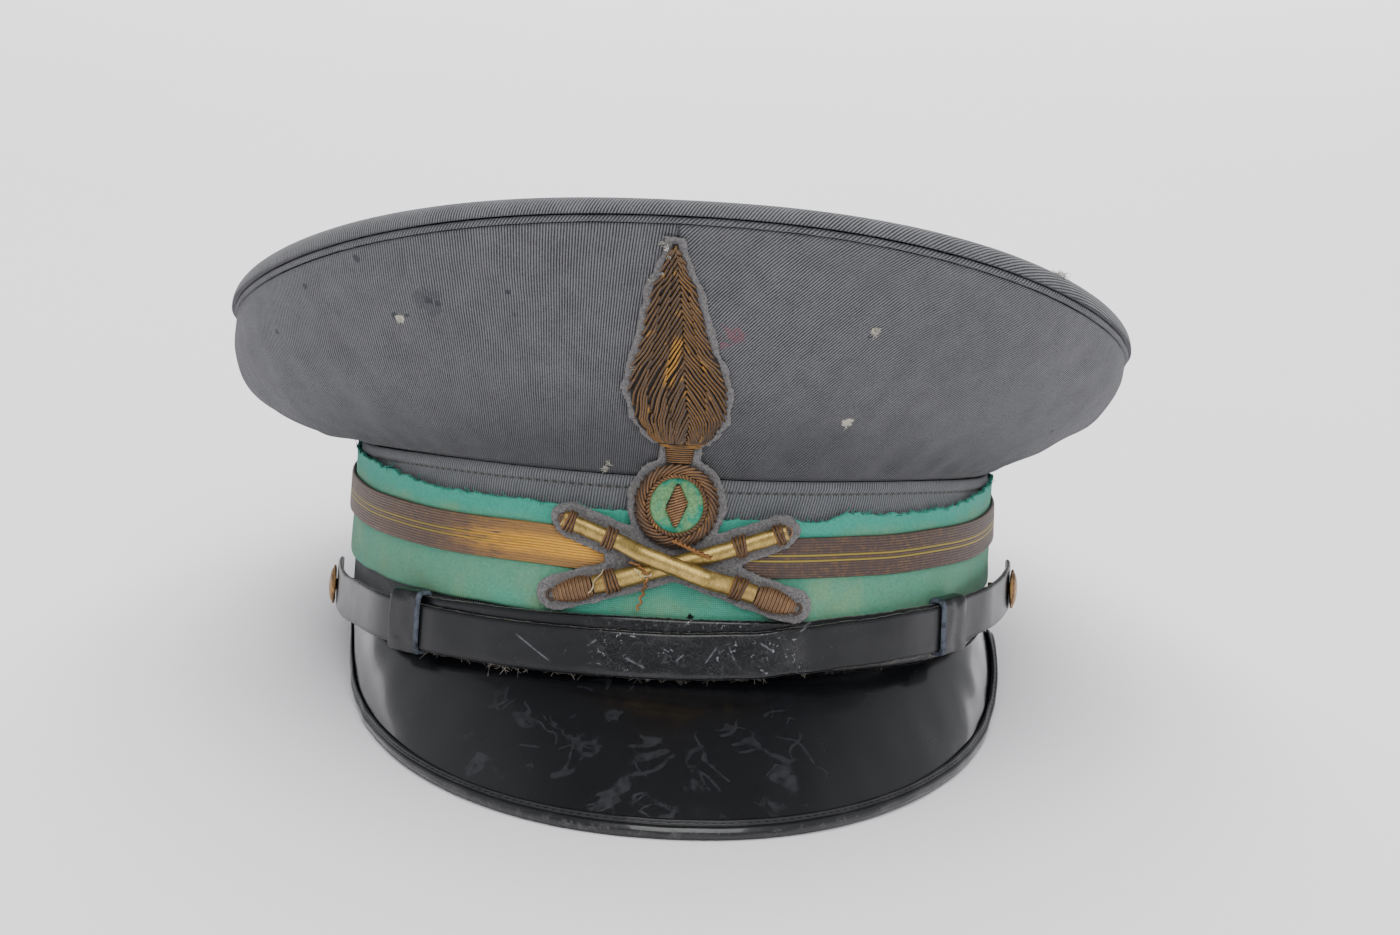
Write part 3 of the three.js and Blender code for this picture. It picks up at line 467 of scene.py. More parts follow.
def crownSide():
    share = row(0, 1, crown["rows"] + 1)
    outer = wallPoint(around, share)
    normal = wallNormal(around, np.clip(share, 0.01, 0.99))
    free = smooth(share / 0.25) * smooth((1 - share) / 0.18)
    bend = crown["sag"] * ripples(outer, crown["sagSize"], 3)
    bend = bend + crown["crease"] * ripples(outer, crown["creaseSize"], 4)
    flutes = ripples(outer * [1, 1, 0.15], crown["gatherSize"], 5) * smooth(share / 0.05)
    flutes = flutes * bell(share, crown["gatherAt"], crown["gatherSpread"])
    outer = outer + normal * (bend * free + crown["gather"] * flutes)[..., None]
    inner = (outer - normal * form["clothWall"])[:, ::-1]
    recipe, height, (u, v) = clothRecipe("crownTwill", twill["leftSlant"], twill["rightSlant"])
    seam = 1 - abs(u).step(0.15, 0.7)
    recipe.tint(seam * 0.7, 48, 50, 54)
    # Painted shade: the wall darkened within 1.2 mm of its seam to the band, where the two meet
    foot = 1 - v.step(0.0, 1.2)
    recipe.tint(foot * 0.6, 40, 42, 46)
    marks = [(row, 0.6, 0.75, (40, 42, 48)) for row in crown["moth"]]
    marks += [(row, 0.7, 0.9, (202, 196, 180)) for row in crown["lint"]]
    marks += [(row, ragged, strength, tuple(shade)) for *row, ragged, strength, shade in crown["stains"]]
    for (x, z, size), ragged, strength, shade in marks:
        recipe.tint(recipe.spot([x, -frontDepth(x, z), z], size, ragged) * strength, *shade)
    # Painted shade: the wall darker over its lowest 30 mm, under the overhang of the crown
    recipe.tint((1 - v.step(2.0, 30.0)) * 0.42, 36, 37, 39)
    material = recipe.finish(0.93, height - seam * 1.5, twill["ribDepth"])
    grid = np.concatenate([outer, inner], 1)
    shellPiece("crownSide", grid, "crown_cloth", material, "crown_side")


# A closed shell round the head, with its UV counted from the front: the grid's first row is at the back
def shellPiece(name, grid, slotName, material, replaced, tone=0.0):
    uv = arcUv(grid, True, True)
    uv[..., 0] -= uv[len(grid) // 2, 0, 0]
    makePiece(name, [gridPart(grid, True, True, uv, tone)], slotName, material, replaced)


# Distance in front of the middle plane of the crown's wall at a place across and a height
def frontDepth(x, z):
    share = np.linspace(0, 1, 60)
    theta = np.linspace(-1.3, 1.3, 261)
    points = wallPoint(theta[:, None], share[None, :]).reshape(-1, 3)
    nearest = np.argmin((points[:, 0] - x) ** 2 + (points[:, 2] - z) ** 2)
    return float(-points[nearest, 1])


# Piping: a tube along the rim, set on the end of the wall in line with its outer face.
piping = {"radius": 0.8, "sides": 14}


def rimPiping():
    end = rimPoint(around[:, 0])
    along = unit(end - wallPoint(around[:, 0], 0.98))
    normal = wallNormal(around[:, 0], 0.99)
    radius = piping["radius"]
    centre = end + along * (radius + form["clearance"]) - normal * 0.3 * radius
    angle = turns(piping["sides"])[None, :, None]
    section = np.sin(angle) * along[:, None] + np.cos(angle) * normal[:, None]
    grid = centre[:, None] + (radius * (1 + 0.05 * ripples(centre, 9, 8)))[:, None, None] * section
    recipe, height, (u, v) = clothRecipe("pipingTwill", 35, 50)
    notch = recipe.spot(rimPoint(0.965) + [0, 0, 1.0], 0.8, 0.2)
    recipe.tint(notch * 0.8, 40, 42, 48)
    material = recipe.finish(0.93, height, twill["ribDepth"])
    shellPiece("rimPiping", grid, "crown_cloth", material, "rim_piping")


# Top: a rolled edge, a quarter ellipse outwards and up, and a disc that follows the rim's saddle.
top = {
    "rollWidth": 3.9, "rollHeightFront": 3.4, "rollHeightSide": 5.0, "rollInset": 2.5,
    "dome": 1.5, "sag": 0.5, "sagSize": 55,
}


def rollHeight(theta):
    return mix(top["rollHeightFront"], top["rollHeightSide"], smooth(np.abs(ovalShare(theta)[0])))


def rollPoint(theta, turn, inset):
    x, y = ovalShare(theta)
    outward = unit(stack(x * form["rimHalfLength"], y * form["rimHalfWidth"], 0))
    reach = np.cos(turn) * (top["rollWidth"] - inset) - top["rollInset"]
    bottom = 2 * piping["radius"] + 2 * form["clearance"]
    out = outward * np.broadcast_to(reach, outward.shape[:-1])[..., None]
    return rimPoint(theta) + out + stack(0, 0, bottom + np.sin(turn) * (rollHeight(theta) - inset))


def discPoint(theta, share, inset):
    edge = rollPoint(theta, math.pi / 2, inset)
    x, y = ovalShare(theta)
    height = edge[..., 2] + rimHeight(y * share) - rimHeight(y) - form["rimSkew"] * x * (1 - share)
    height = height - (rollHeight(theta) - top["rollHeightSide"] - top["dome"]) * (1 - share * share)
    depth = (edge[..., 1] + form["rimOffset"]) * share - form["rimOffset"]
    return stack(edge[..., 0] * share, depth, height)


def crownTop():
    turn = row(0, math.pi / 2, 11)[:, :-1]
    share = row(1, 0, 44)

    def shell(inset):
        theta = np.broadcast_to(around, (len(around), turn.shape[1]))
        flat = np.broadcast_to(around, (len(around), share.shape[1]))
        return np.concatenate([rollPoint(theta, turn, inset), discPoint(flat, share, inset)], 1)

    outer, inner = shell(0), shell(form["clothWall"])
    free = np.concatenate([np.zeros(turn.shape[1]), smooth((1 - share[0]) / 0.2) * (share[0] > 0)])
    wave = stack(0, 0, top["sag"] * ripples(outer, top["sagSize"], 11) * free)
    grid = np.concatenate([outer + wave, (inner + wave)[:, ::-1]], 1)
    tone = np.zeros(grid.shape[:2])
    tone[:, 0] = 1
    recipe, height, (u, v) = clothRecipe("topTwill", 30, 30)
    recipe.tint(recipe.tone().step(0.6, 1.0) * 0.5, 44, 46, 50)
    material = recipe.finish(0.93, height, twill["ribDepth"])
    part = gridPart(grid, True, True, topUv(grid, turn.shape[1]), tone)
    makePiece("crownTop", [part], "crown_cloth", material, "crown_top")


# The top is cut from flat cloth, so its UV is its plan, carried on past the disc's edge by the
# length down the roll
def topUv(grid, rollColumns):
    flat = grid[..., :2].copy()
    roll = grid[:, :rollColumns + 1]
    steps = np.linalg.norm(np.diff(roll, axis=1), axis=2)
    down = np.cumsum(steps[:, ::-1], 1)[:, ::-1]
    outward = unit(flat[:, rollColumns] * [1, 0.85])
    flat[:, :rollColumns] = flat[:, rollColumns, None] + outward[:, None] * down[..., None]
    turned = np.concatenate([flat, flat[:1]]) / 100
    return np.concatenate([turned, turned[:, :1]], 1)


# Band: a sheet round the head with rounded edges, a fold at its top and a line of stitches under it.
band = {
    "rows": 60, "fold": 0.55, "foldAt": 1.6, "foldWidth": 1.0, "stitchAt": 2.9, "stitchDepth": 0.45,
    "stitchWidth": 0.35, "stitchLength": 2.2, "wave": 0.25, "waveSize": 24,
}


def headBand():
    share = row(0, 1, band["rows"] + 1)
    top = seamHeight(around) - form["clearance"]
    height = share * top
    below = top - height
    edge = 0.35 * (1 - smooth(height / 1.0))
    fold = band["fold"] * bell(below, band["foldAt"], band["foldWidth"])
    stitch = band["stitchDepth"] * bell(below, band["stitchAt"], band["stitchWidth"])
    outer = bandPoint(around, height, form["bandOuter"] - edge + fold - stitch)
    wave = band["wave"] * ripples(outer, band["waveSize"], 21) * smooth(below / 4)
    outer = outer + levelOut(outer) * wave[..., None]
    inner = bandPoint(around, height, form["bandOuter"] - form["bandWall"])[:, ::-1]
    grid = np.concatenate([outer, inner], 1)
    recipe, height, (u, v) = clothRecipe("bandTwill", 6, 14, eye(120, 122, 124), eye(58, 60, 64))
    away = recipe.tone()
    line = 1 - abs(away - band["stitchAt"]).step(0.1, 0.45)
    stitches = (u * (2 * math.pi / band["stitchLength"])).sine().step(-0.3, 0.5)
    recipe.tint(line * 0.75, 46, 47, 50)
    recipe.tint(line * stitches * 0.6, 105, 100, 92)
    low = 1 - v.step(0.3, 1.5)
    recipe.tint(low * 0.4, 96, 92, 84)
    material = recipe.finish(0.94, height - line * (1.6 - stitches), twill["ribDepth"])
    tone = np.concatenate([below, below[:, ::-1]], 1)
    shellPiece("headBand", grid, "band_cloth", material, "band", tone)


# Green cloth: a thin sheet over the band. Its upper edge is torn, so its height follows a table and
# small random steps, and it stands off a little where it has come loose.
green = {
    "bottom": 12.0, "top": 38.5, "wall": 1.0, "rows": 44, "innerStep": 4, "thread": 0.5,
    "tear": 0.42, "tearSize": 4.6, "lift": 0.5,
    "edge": [
        [-180, 1.0], [-120, 1.01], [-75, 1.03], [-58, 1.03], [-38, 0.99], [-22, 1.0], [14, 0.96],
        [22, 0.95], [30, 1.0], [38, 0.98], [52, 0.98], [75, 1.02], [120, 1.01], [180, 1.0],
    ],
}
greenAround = turns(1100, -math.pi)[:, None]


def greenTopAt(theta):
    place = bandPoint(theta, 38.0, 0)
    ragged = ripples(place, green["tearSize"], 31) * 0.6 + ripples(place, 1.1, 32) * 0.35
    ragged = ragged - 1.6 * smooth(ripples(place, 2.4, 36) - 1.4)
    return green["top"] * lookUp(green["edge"], np.degrees(theta), 1) + green["tear"] * ragged


def greenBand():
    share = row(0, 1, green["rows"] + 1)
    top = greenTopAt(greenAround)
    foot = 0.25 * ripples(bandPoint(greenAround, green["bottom"], 0), 20, 33)
    height = green["bottom"] + (top - green["bottom"]) * share + foot * (1 - share)
    below = top - height
    loose = green["lift"] * np.exp(-below / 1.4)
    loose = loose * (0.6 + 0.4 * ripples(bandPoint(greenAround, 38.0, 0), 9, 34))
    swell = 0.22 * ripples(bandPoint(greenAround, height, 0), 17, 35) * smooth(share / 0.2)
    covered = smooth((height - 22) / 1.5) * smooth((34.5 - height) / 1.5)
    out = (loose + swell) * (1 - covered)
    outer = bandPoint(greenAround, height, out - 0.15 * np.exp(-(height - green["bottom"]) / 0.4))
    inner = bandPoint(greenAround, height, out - green["wall"])[:, ::-green["innerStep"]]
    grid = np.concatenate([outer, inner], 1)
    recipe = Recipe("greenCloth", Sheen_Weight=0.1, Sheen_Roughness=0.5, Specular_IOR_Level=0.2)
    u, v = recipe.weave()
    away = recipe.tone()
    fade = recipe.noise(26.0, 4.0, 0.6)
    fresh = (1 - away.step(1.0, 6.5)).most(recipe.spot([4.0, -104.0, 16.0], 24.0, 0.6) * 0.4)
    pale = (fade + 0.18 - fresh * 0.5).step(0.25, 0.75)
    recipe.colour = recipe.blend(pale, eye(68, 163, 140), eye(102, 157, 128))
    yellow = recipe.noise(13.0, 3.0).step(0.5, 0.75)
    recipe.tint(yellow * pale * 0.45, 138, 170, 122)
    bare = recipe.spot([4.0, -104.0, 16.0], 26.0, 0.5) * 1.3 + 0.2
    warp = (u * (2 * math.pi / green["thread"]) + recipe.noise(3.0) * 3.0).sine()
    weft = (v * (2 * math.pi / green["thread"]) + recipe.noise(3.4) * 3.0).sine()
    fluff = recipe.noise(0.7, 4.0, 0.7)
    nap = (warp + weft) * bare * 0.14 + fluff
    deep = recipe.blend(0.45, recipe.colour, eye(24, 92, 82))
    recipe.colour = recipe.blend((nap - 0.15).step(0.0, 0.7), deep, recipe.colour)
    dirt = recipe.noise(4.5, 5.0, 0.7).step(0.58, 0.8)
    recipe.tint(dirt * 0.35, 70, 96, 78)
    soil = (1 - abs(away - 24.0).step(0.5, 4.0)) * recipe.noise(9.0, 3.0).step(0.42, 0.62)
    recipe.tint(soil * 0.25, 100, 110, 70)
    nick = recipe.spot([7.3, -104.0, 13.2], 1.2, 0.7)
    recipe.tint(nick, 14, 18, 18)
    material = recipe.finish(0.95, nap, 0.1)
    tone = np.concatenate([below, below[:, ::-green["innerStep"]]], 1)
    shellPiece("greenBand", grid, "green_cloth", material, "green_band", tone)


# Braid: a woven strip whose face is a row of small round ribs along its length.
braid = {
    "bottom": 23.2, "width": 9.9, "wall": 0.8, "ribs": 15, "ribHeight": 0.2, "perRib": 6, "innerStep": 15,
    "thread": 0.55, "middleLines": (0.432, 0.568),
}


def goldBraid():
    theta = turns(420, -math.pi)[:, None]
    across = row(0, 1, braid["ribs"] * braid["perRib"] + 1)
    rib = np.abs(np.sin(across * math.pi * braid["ribs"])) ** 0.7 * braid["ribHeight"]
    edge = 1 - np.abs(2 * across - 1) ** 24
    waver = 0.18 * ripples(bandPoint(theta, 28.0, 0), 30, 41)
    height = braid["bottom"] + waver + across * braid["width"]
    outer = bandPoint(theta, height, form["clearance"] + 0.25 + (braid["wall"] - 0.45 + rib) * edge)
    inner = bandPoint(theta, height, form["clearance"] * np.ones_like(across))[:, ::-braid["innerStep"]]
    grid = np.concatenate([outer, inner], 1)
    recipe = Recipe("tarnishedBraid", Specular_IOR_Level=0.5)
    u, v = recipe.weave()
    tone = recipe.tone()
    place = recipe.node("ShaderNodeSeparateXYZ", {}, {0: recipe.place()})
    ahead = 1 - Wire(recipe, place.socket.node.outputs[1]).step(-0.04, 0.0)
    fine = (u * (2 * math.pi / braid["thread"]) + v * 5.0).sine() * 0.5 + 0.5
    rows = abs((tone * (braid["ribs"] * math.pi)).sine())
    right = place.step(0.0, 0.02)
    brown = recipe.blend(right, eye(92, 73, 62), eye(78, 62, 56))
    # Painted shade: dark brown in the valleys between the woven ribs
    recipe.colour = recipe.blend(rows.step(0.05, 0.7), eye(62, 46, 40), brown)
    glint = recipe.noise(1.6, 3.0, 0.7).step(0.45, 0.7)
    recipe.tint(glint * rows * 0.5, 150, 116, 78)
    first, second = (1 - abs(tone - at).step(0.024, 0.036) for at in braid["middleLines"])
    middle = first.most(second)
    gold = recipe.blend(right, eye(158, 142, 66), eye(176, 158, 72))
    recipe.colour = recipe.blend(middle * rows * 0.85, recipe.colour, gold)
    # Painted highlight: bright gold streaks on the braid left of the badge, where it is also made more
    # metallic and less rough; painted shade in the grooves between its ribs there
    core = 1 - abs(tone - 0.48).step(0.12, 0.34) * 0.7
    near = ahead * place.step(-0.06, -0.034) * (1 - place.step(-0.02, -0.01)) * core
    streaks = recipe.noise(1.0, 3.0, 0.6, at=recipe.join(u * 0.00018, v * 0.0022))
    bright = near * (streaks + place.step(-0.05, -0.026) * 0.15).step(0.36, 0.6)
    recipe.tint(bright, 226, 168, 74)
    recipe.tint((1 - rows.step(0.0, 0.65)) * bright * 0.6, 116, 76, 40)
    metal = (bright * 0.75 + middle * 0.5 + glint * 0.25).least(0.85)
    material = recipe.finish(0.55 - bright * 0.25, fine * 0.5 + recipe.noise(0.5) * 0.4, 0.08, metal)
    faces = [np.broadcast_to(across, outer.shape[:2])]
    faces.append(np.broadcast_to(across[:, ::-braid["innerStep"]], inner.shape[:2]))
    shellPiece("goldBraid", grid, "braid", material, "gold_braid", np.concatenate(faces, 1))


# Peak: ruled between the band and its edge, bowed outwards, with a slight unevenness.
peak = {
    "halfWidth": 84.5, "power": 2.15, "setback": 13.0, "cornerDrop": 5.0, "skew": 3.4, "sweep": 0.92,
    "bulge": 2.5, "wall": 1.8, "end": 89.0, "columns": 300, "rows": 44, "dent": 0.09, "dentSize": 17,
    "bindingWall": 0.8, "bindingDepth": 4.7,
}


def floorHeight(y):
    return form["floorTrim"] - (backReach - y) * math.tan(pitch)


def peakPoint(phi, share):
    height = np.full_like(phi, -form["clearance"] - peak["wall"] * 0.45)
    upper = bandPoint(phi * peak["sweep"], height, form["bandOuter"] - form["bandWall"] / 2)
    x, y = ovalShare(phi, peak["power"])
    forward = y * (peakReach - peak["setback"]) - peak["setback"]
    corner = (-peak["cornerDrop"] - floorHeight(-peak["setback"])) * np.abs(np.sin(phi)) ** 40
    lower = stack(peak["skew"] + x * peak["halfWidth"], forward, floorHeight(forward) + corner)
    upper, lower = np.broadcast_arrays(upper, lower)
    point = upper + (lower - upper) * share[..., None]
    bow = 4 * peak["bulge"] * share * (1 - share) * np.cos(phi) * 0.7
    return point + levelOut(point) * bow[..., None] + stack(0, 0, bow)


def peakNormal(phi, share):
    return -surfaceNormal(peakPoint, phi, share)


peakAngles = np.radians(np.linspace(-peak["end"], peak["end"], peak["columns"] + 1))[:, None]


def patentRecipe(name, scuffs):
    recipe = Recipe(name, Specular_IOR_Level=0.5, Coat_Roughness=0.07)
    broad = recipe.noise(9.0, 3.0, 0.6)
    dust = recipe.noise(1.2, 5.0, 0.7)
    recipe.colour = recipe.blend(dust.step(0.5, 0.85) * 0.25, eye(11, 12, 15), eye(36, 38, 42))
    swirl = recipe.noise(15.0, 1.0, 0.5, 1.4)
    line = 1 - abs(swirl - 0.5).step(0.006, 0.045)
    strokes = recipe.noise(11.0, 0.5, 0.5, 0.8)
    second = 1 - abs(strokes - 0.46).step(0.005, 0.03)
    mask = scuffs(recipe)
    gaps = recipe.noise(9.0, 1.0).step(0.5, 0.6)
    marks = line.most(second * 0.8) * gaps * mask * recipe.noise(1.6, 3.0).step(0.2, 0.65)
    recipe.tint(marks * 0.18, 84, 88, 94)
    return recipe, marks, broad, dust


def peakLeather():
    share = row(0, 1, peak["rows"] + 1)
    phi = np.broadcast_to(peakAngles, (len(peakAngles), share.shape[1]))
    edge = peakAngles[:, 0]
    span = peakPoint(edge, np.ones_like(edge)) - peakPoint(edge, np.zeros_like(edge))
    length = np.linalg.norm(span, axis=1)
    reach = 1 - (peak["bindingWall"] + form["clearance"]) / length
    along = share * reach[:, None]
    middle = peakPoint(phi, along)
    normal = peakNormal(phi, np.maximum(along, 0.01))
    free = smooth(share / 0.2) * smooth((1 - share) / 0.15)
    dent = peak["dent"] * ripples(middle, peak["dentSize"], 51) * free
    middle = middle + normal * dent[..., None]
    half = normal * peak["wall"] / 2
    grid = np.concatenate([middle + half, (middle - half)[:, ::-1]], 1)
    inner = np.zeros(grid.shape[:2])
    inner[:, len(share[0]):] = 1

    def scuffs(recipe):
        front = recipe.spot([-18.0, -126.0, -16.0], 34.0, 0.5)
        right = recipe.spot([26.0, -124.0, -14.0], 20.0, 0.5)
        return front.most(right).most(0.06)

    recipe, marks, broad, dust = patentRecipe("patentLeather", scuffs)
    under = recipe.tone().step(0.3, 0.7)
    suede = recipe.noise(1.5, 4.0, 0.7)
    lining = recipe.blend(suede, eye(38, 34, 32), eye(70, 62, 56))
    recipe.colour = recipe.blend(under, recipe.colour, lining)
    rough = 0.17 + broad * 0.1 + dust * 0.06 + marks * 0.1 + under * 0.5
    recipe.put(recipe.shader.inputs["Coat Weight"], 0.25 - under * 0.25)
    grain = recipe.noise(2.6, 3.0) * 0.5 + marks * 0.6 + under * suede * 2.0
    material = recipe.finish(rough, grain, 0.05)
    makePiece("peakLeather", [sweepPart(grid, inner)], "patent_leather", material, "peak")


# Binding: a folded strip over the edge. Its section runs over the upper face with two pressed
# lines, round the edge in a bead, back under the peak and inside along the peak's own edge.
binding = {
    "slot": 1.2, "half": 2.0, "lineDepth": 0.3, "lineWidth": 0.22, "linesAt": (0.95, 1.75), "stitch": 2.1,
}


def bindingSection():
    half, slot, depth = binding["half"], binding["slot"], peak["bindingDepth"]
    along = np.linspace(-depth, -half * 0.8, 34)
    from0 = along + depth
    face = half - 0.55 * np.exp(-from0 / 0.25)
    for centre in binding["linesAt"]:
        face = face - binding["lineDepth"] * bell(from0, centre, binding["lineWidth"])
    face = face + 0.18 * bell(from0, 2.6, 0.5)
    upper = np.stack([along, face], 1)
    turn = np.linspace(math.pi / 2, -math.pi / 2, 17)[1:-1]
    bead = np.stack([-half * 0.8 + half * 0.8 * np.cos(turn), half * np.sin(turn)], 1)
    under = np.stack([np.linspace(-half * 0.8, -depth, 10), np.full(10, -half)], 1)
    wall = peak["bindingWall"]
    inside = np.array([[-depth, -slot], [-wall, -slot], [-wall, slot], [-depth, slot]])
    return np.concatenate([upper, bead, under, inside])


def peakBinding():
    section = bindingSection()
    phi = peakAngles[:, 0]
    edge = peakPoint(phi, np.ones_like(phi))
    down = unit(edge - peakPoint(phi, np.full_like(phi, 0.94)))
    normal = peakNormal(phi, np.full_like(phi, 0.97))
    waver = 0.12 * ripples(edge, 14, 61)
    along, out = section[None, :, :1], section[None, :, 1:]
    out = out + waver[:, None, None] * (out > 1.5)
    grid = edge[:, None] + down[:, None] * along + normal[:, None] * out
    recipe, marks, broad, dust = patentRecipe(
        "bindingLeather", lambda base: base.noise(14.0).step(0.5, 0.6) * 0.6)
    u, v = recipe.weave()
    stitch = 1 - abs(v - 1.35).step(0.16, 0.3)
    stitch = stitch * (u * (2 * math.pi / binding["stitch"])).sine().step(-0.6, 0.1)
    recipe.tint(stitch * 0.7, 64, 64, 68)
    wear = (v.step(3.3, 4.2) * (1 - v.step(5.4, 6.4))) * recipe.noise(2.2, 5.0, 0.75).step(0.5, 0.66)
    recipe.tint(wear * 0.5, 92, 90, 92)
    chip = recipe.spot([49.5, -112.5, -28.5], 1.8, 0.8)
    recipe.tint(chip, 168, 132, 100)
    recipe.put(recipe.shader.inputs["Coat Weight"], 0.45)
    rough = 0.24 + broad * 0.15 + dust * 0.1 + wear * 0.3 + chip * 0.4
    material = recipe.finish(rough, recipe.noise(1.3, 4.0) * 0.6 + stitch * 1.2 - wear * 0.5, 0.1)
    makePiece("peakBinding", [sweepPart(grid)], "patent_leather", material, "peak_binding")


# Chin strap: two layers with rounded edges on a course of angle, height of the middle, bow off the
# band and the rear layer's lift, the last three as shares of the width.
strap = {
    "width": 11.5, "wall": 1.3, "end": 84.0, "rounded": 0.045,
    "leftLoop": -41.4, "rightLoop": 50.6, "loopLength": 12.0, "loopWall": 1.0,
    "course": [
        [-90, 0.2, 0.1, 0.0], [-78, 0.21, 0.12, 0.0], [-68, 0.24, 0.14, 0.0], [-58, 0.32, 0.16, 0.02],
        [-48, 0.36, 0.2, 0.08], [-36, 0.35, 0.15, 0.16], [-27, 0.33, 0.06, 0.22], [0, 0.35, 0.04, 0.28],
        [12, 0.42, 0.04, 0.22], [20, 0.54, 0.05, 0.08], [29, 0.64, 0.06, 0.06], [42, 0.75, 0.15, 0.03],
        [56, 0.81, 0.16, 0.0], [66, 0.9, 0.32, 0.0], [78, 1.0, 0.38, 0.0], [90, 1.05, 0.34, 0.0],
    ],
}
loopHalf = math.degrees(strap["loopLength"] / 2 / form["bandHalfLength"])


# How far the outside of the peak stands off the band's oval at a height below the band
def peakStandoff(theta, height):
    phi = theta / peak["sweep"]
    top, foot = (peakPoint(phi, np.full_like(phi, s))[..., 2] for s in (0.0, 1.0))
    share = np.minimum(height / (foot - top), 1.0)
    point = peakPoint(phi, share) - peakNormal(phi, share) * peak["wall"] / 2
    over = np.hypot(point[..., 0], point[..., 1])
    base = bandPoint(theta, height, 0.0)
    off = np.maximum(over - np.hypot(base[..., 0], base[..., 1]), 0)
    return np.where((height > 0) | (np.abs(phi) > math.pi / 2), 0.0, off)


def rearEdges(theta):
    angle = np.degrees(theta)
    bow = form["clearance"] + strap["width"] * lookUp(strap["course"], angle, 2)
    low = strap["width"] * (lookUp(strap["course"], angle, 1) + lookUp(strap["course"], angle, 3) - 0.5)
    under = peakStandoff(theta, low - strap["loopWall"] - form["clearance"])
    return low, low + strap["width"], under + bow, bow


def frontEdges(theta):
    low = strap["width"] * (lookUp(strap["course"], np.degrees(theta), 1) - 0.5)
    rearLow, rearHigh, rearLowOut, rearHighOut = rearEdges(theta)
    lean = (rearLowOut - rearHighOut) / strap["width"]
    past = np.degrees(theta) - strap["leftLoop"]
    lift = (strap["wall"] + form["clearance"]) * smooth((past + 20) / 14)
    highOut = rearHighOut + lean * (rearHigh - low - strap["width"]) + lift
    under = peakStandoff(theta, low - strap["loopWall"] - form["clearance"]) + form["clearance"]
    return low, low + strap["width"], np.maximum(highOut + lean * strap["width"], under), highOut


def strapPoint(edges, theta, across, out):
    low, high, lowOut, highOut = (e[..., None] for e in edges)
    height = mix(low, high, across)
    base = bandPoint(theta[:, None], np.maximum(height, 0), mix(lowOut, highOut, across) + out)
    return stack(base[..., 0], base[..., 1], height)


# Section of a strap: a rectangle with rounded corners, as shares across and millimetres out
def strapSection():
    across = np.linspace(0, 1, 25)
    middle = strap["wall"] / 2
    edge = middle * roundedEnd((np.abs(across - 0.5) - 0.5 + strap["rounded"]) / strap["rounded"])
    out = np.concatenate([middle + edge, (middle - edge)[::-1][1:-1]])
    return np.concatenate([across, across[::-1][1:-1]]), out


def leatherRecipe(name, cracked):
    recipe = Recipe(name, Specular_IOR_Level=0.42, Coat_Roughness=0.08)
    broad = recipe.noise(6.0, 3.0, 0.6)
    dust = recipe.noise(0.9, 5.0, 0.7)
    inputs = {"Vector": recipe.place(), "Scale": 330.0}
    cells = recipe.node("ShaderNodeTexVoronoi", {"feature": "DISTANCE_TO_EDGE"}, inputs)
    folds = recipe.noise(3.2, 2.0, 0.5, 1.5)
    cracks = (1 - cells.step(0.0, 0.035)) * recipe.noise(4.0, 2.0).step(0.52, 0.62)
    cracks = cracks.most(1 - abs(folds - 0.5).step(0.004, 0.022)) * cracked(recipe)
    recipe.colour = recipe.blend(dust.step(0.55, 0.85) * 0.2, eye(14, 16, 18), eye(36, 38, 40))
    recipe.tint(cracks * 0.22, 70, 70, 74)
    return recipe, cracks, broad, dust


# Scratches of the strap: x and height of both ends in the shared frame
scratches = [
    (-35.0, 34.0, -25.4, 28.3), (24.0, 36.0, 27.6, 33.6), (14.2, 35.0, 11.2, 30.6),
    (16.8, 35.2, 18.6, 31.2), (-8.0, 31.4, -2.5, 29.0), (33.0, 37.6, 38.6, 41.0),
    (-17.0, 33.2, -14.6, 35.2), (4.2, 31.0, 6.4, 33.0),
]


def strapLayer(name, edgesAt, start, finish, replaced, seed, cracked):
    across, out = strapSection()
    theta = np.radians(np.linspace(start, finish, int((finish - start) * 3)))
    grid = strapPoint(edgesAt(theta), theta, across[None, :], out[None, :])
    outward = levelOut(grid)
    free = smooth((theta - theta[0]) * 8) * smooth((theta[-1] - theta) * 8)
    wave = 0.05 * ripples(grid, 16, seed) + 0.012 * ripples(grid, 5, seed + 1)
    grid = grid + outward * (wave * free[:, None])[..., None]
    ragged = 0.08 * ripples(grid, 2.2, seed + 2) * (np.abs(across - 0.5) > 0.48)
    grid[..., 2] += ragged
    recipe, cracks, broad, dust = leatherRecipe(name + "Leather", cracked)
    side = recipe.tone()
    raw = side.step(0.965, 0.995)
    fringe = raw * recipe.noise(1.2, 4.0, 0.7).step(0.3, 0.55)
    recipe.tint(fringe * 0.8, 128, 124, 120)
    middle = cracked(recipe)
    # Painted highlight: pale glints in the cracked middle of the strap, joined with its real scratches in one
    # mask
    glintsAndScratches = recipe.noise(0.9, 2.0, 0.5, 0.8).step(0.645, 0.675)
    glintsAndScratches = glintsAndScratches * recipe.noise(5.0, 2.0).step(0.46, 0.6) * middle
    lines = recipe.strokes(scratches, 0.3) * recipe.noise(1.0, 3.0, 0.7).step(0.3, 0.55)
    glintsAndScratches = glintsAndScratches.most(lines * 0.4)
    recipe.tint(glintsAndScratches * 0.6, 168, 170, 178)
    line = 1 - abs(side - 0.87).step(0.012, 0.03)
    recipe.put(recipe.shader.inputs["Coat Weight"], middle * 0.3)
    rough = 0.26 - middle * 0.1 + broad * 0.1 + dust * 0.05 + cracks * 0.15 + fringe * 0.5
    height = recipe.noise(1.3, 3.0, 0.6) * (0.04 + middle * 0.5) - cracks * 0.5 - line * 0.4 + glintsAndScratches * 0.4
    material = recipe.finish(rough, height, 0.1)
    makePiece(name, [sweepPart(grid, np.abs(2 * across - 1))], "strap_leather", material, replaced)


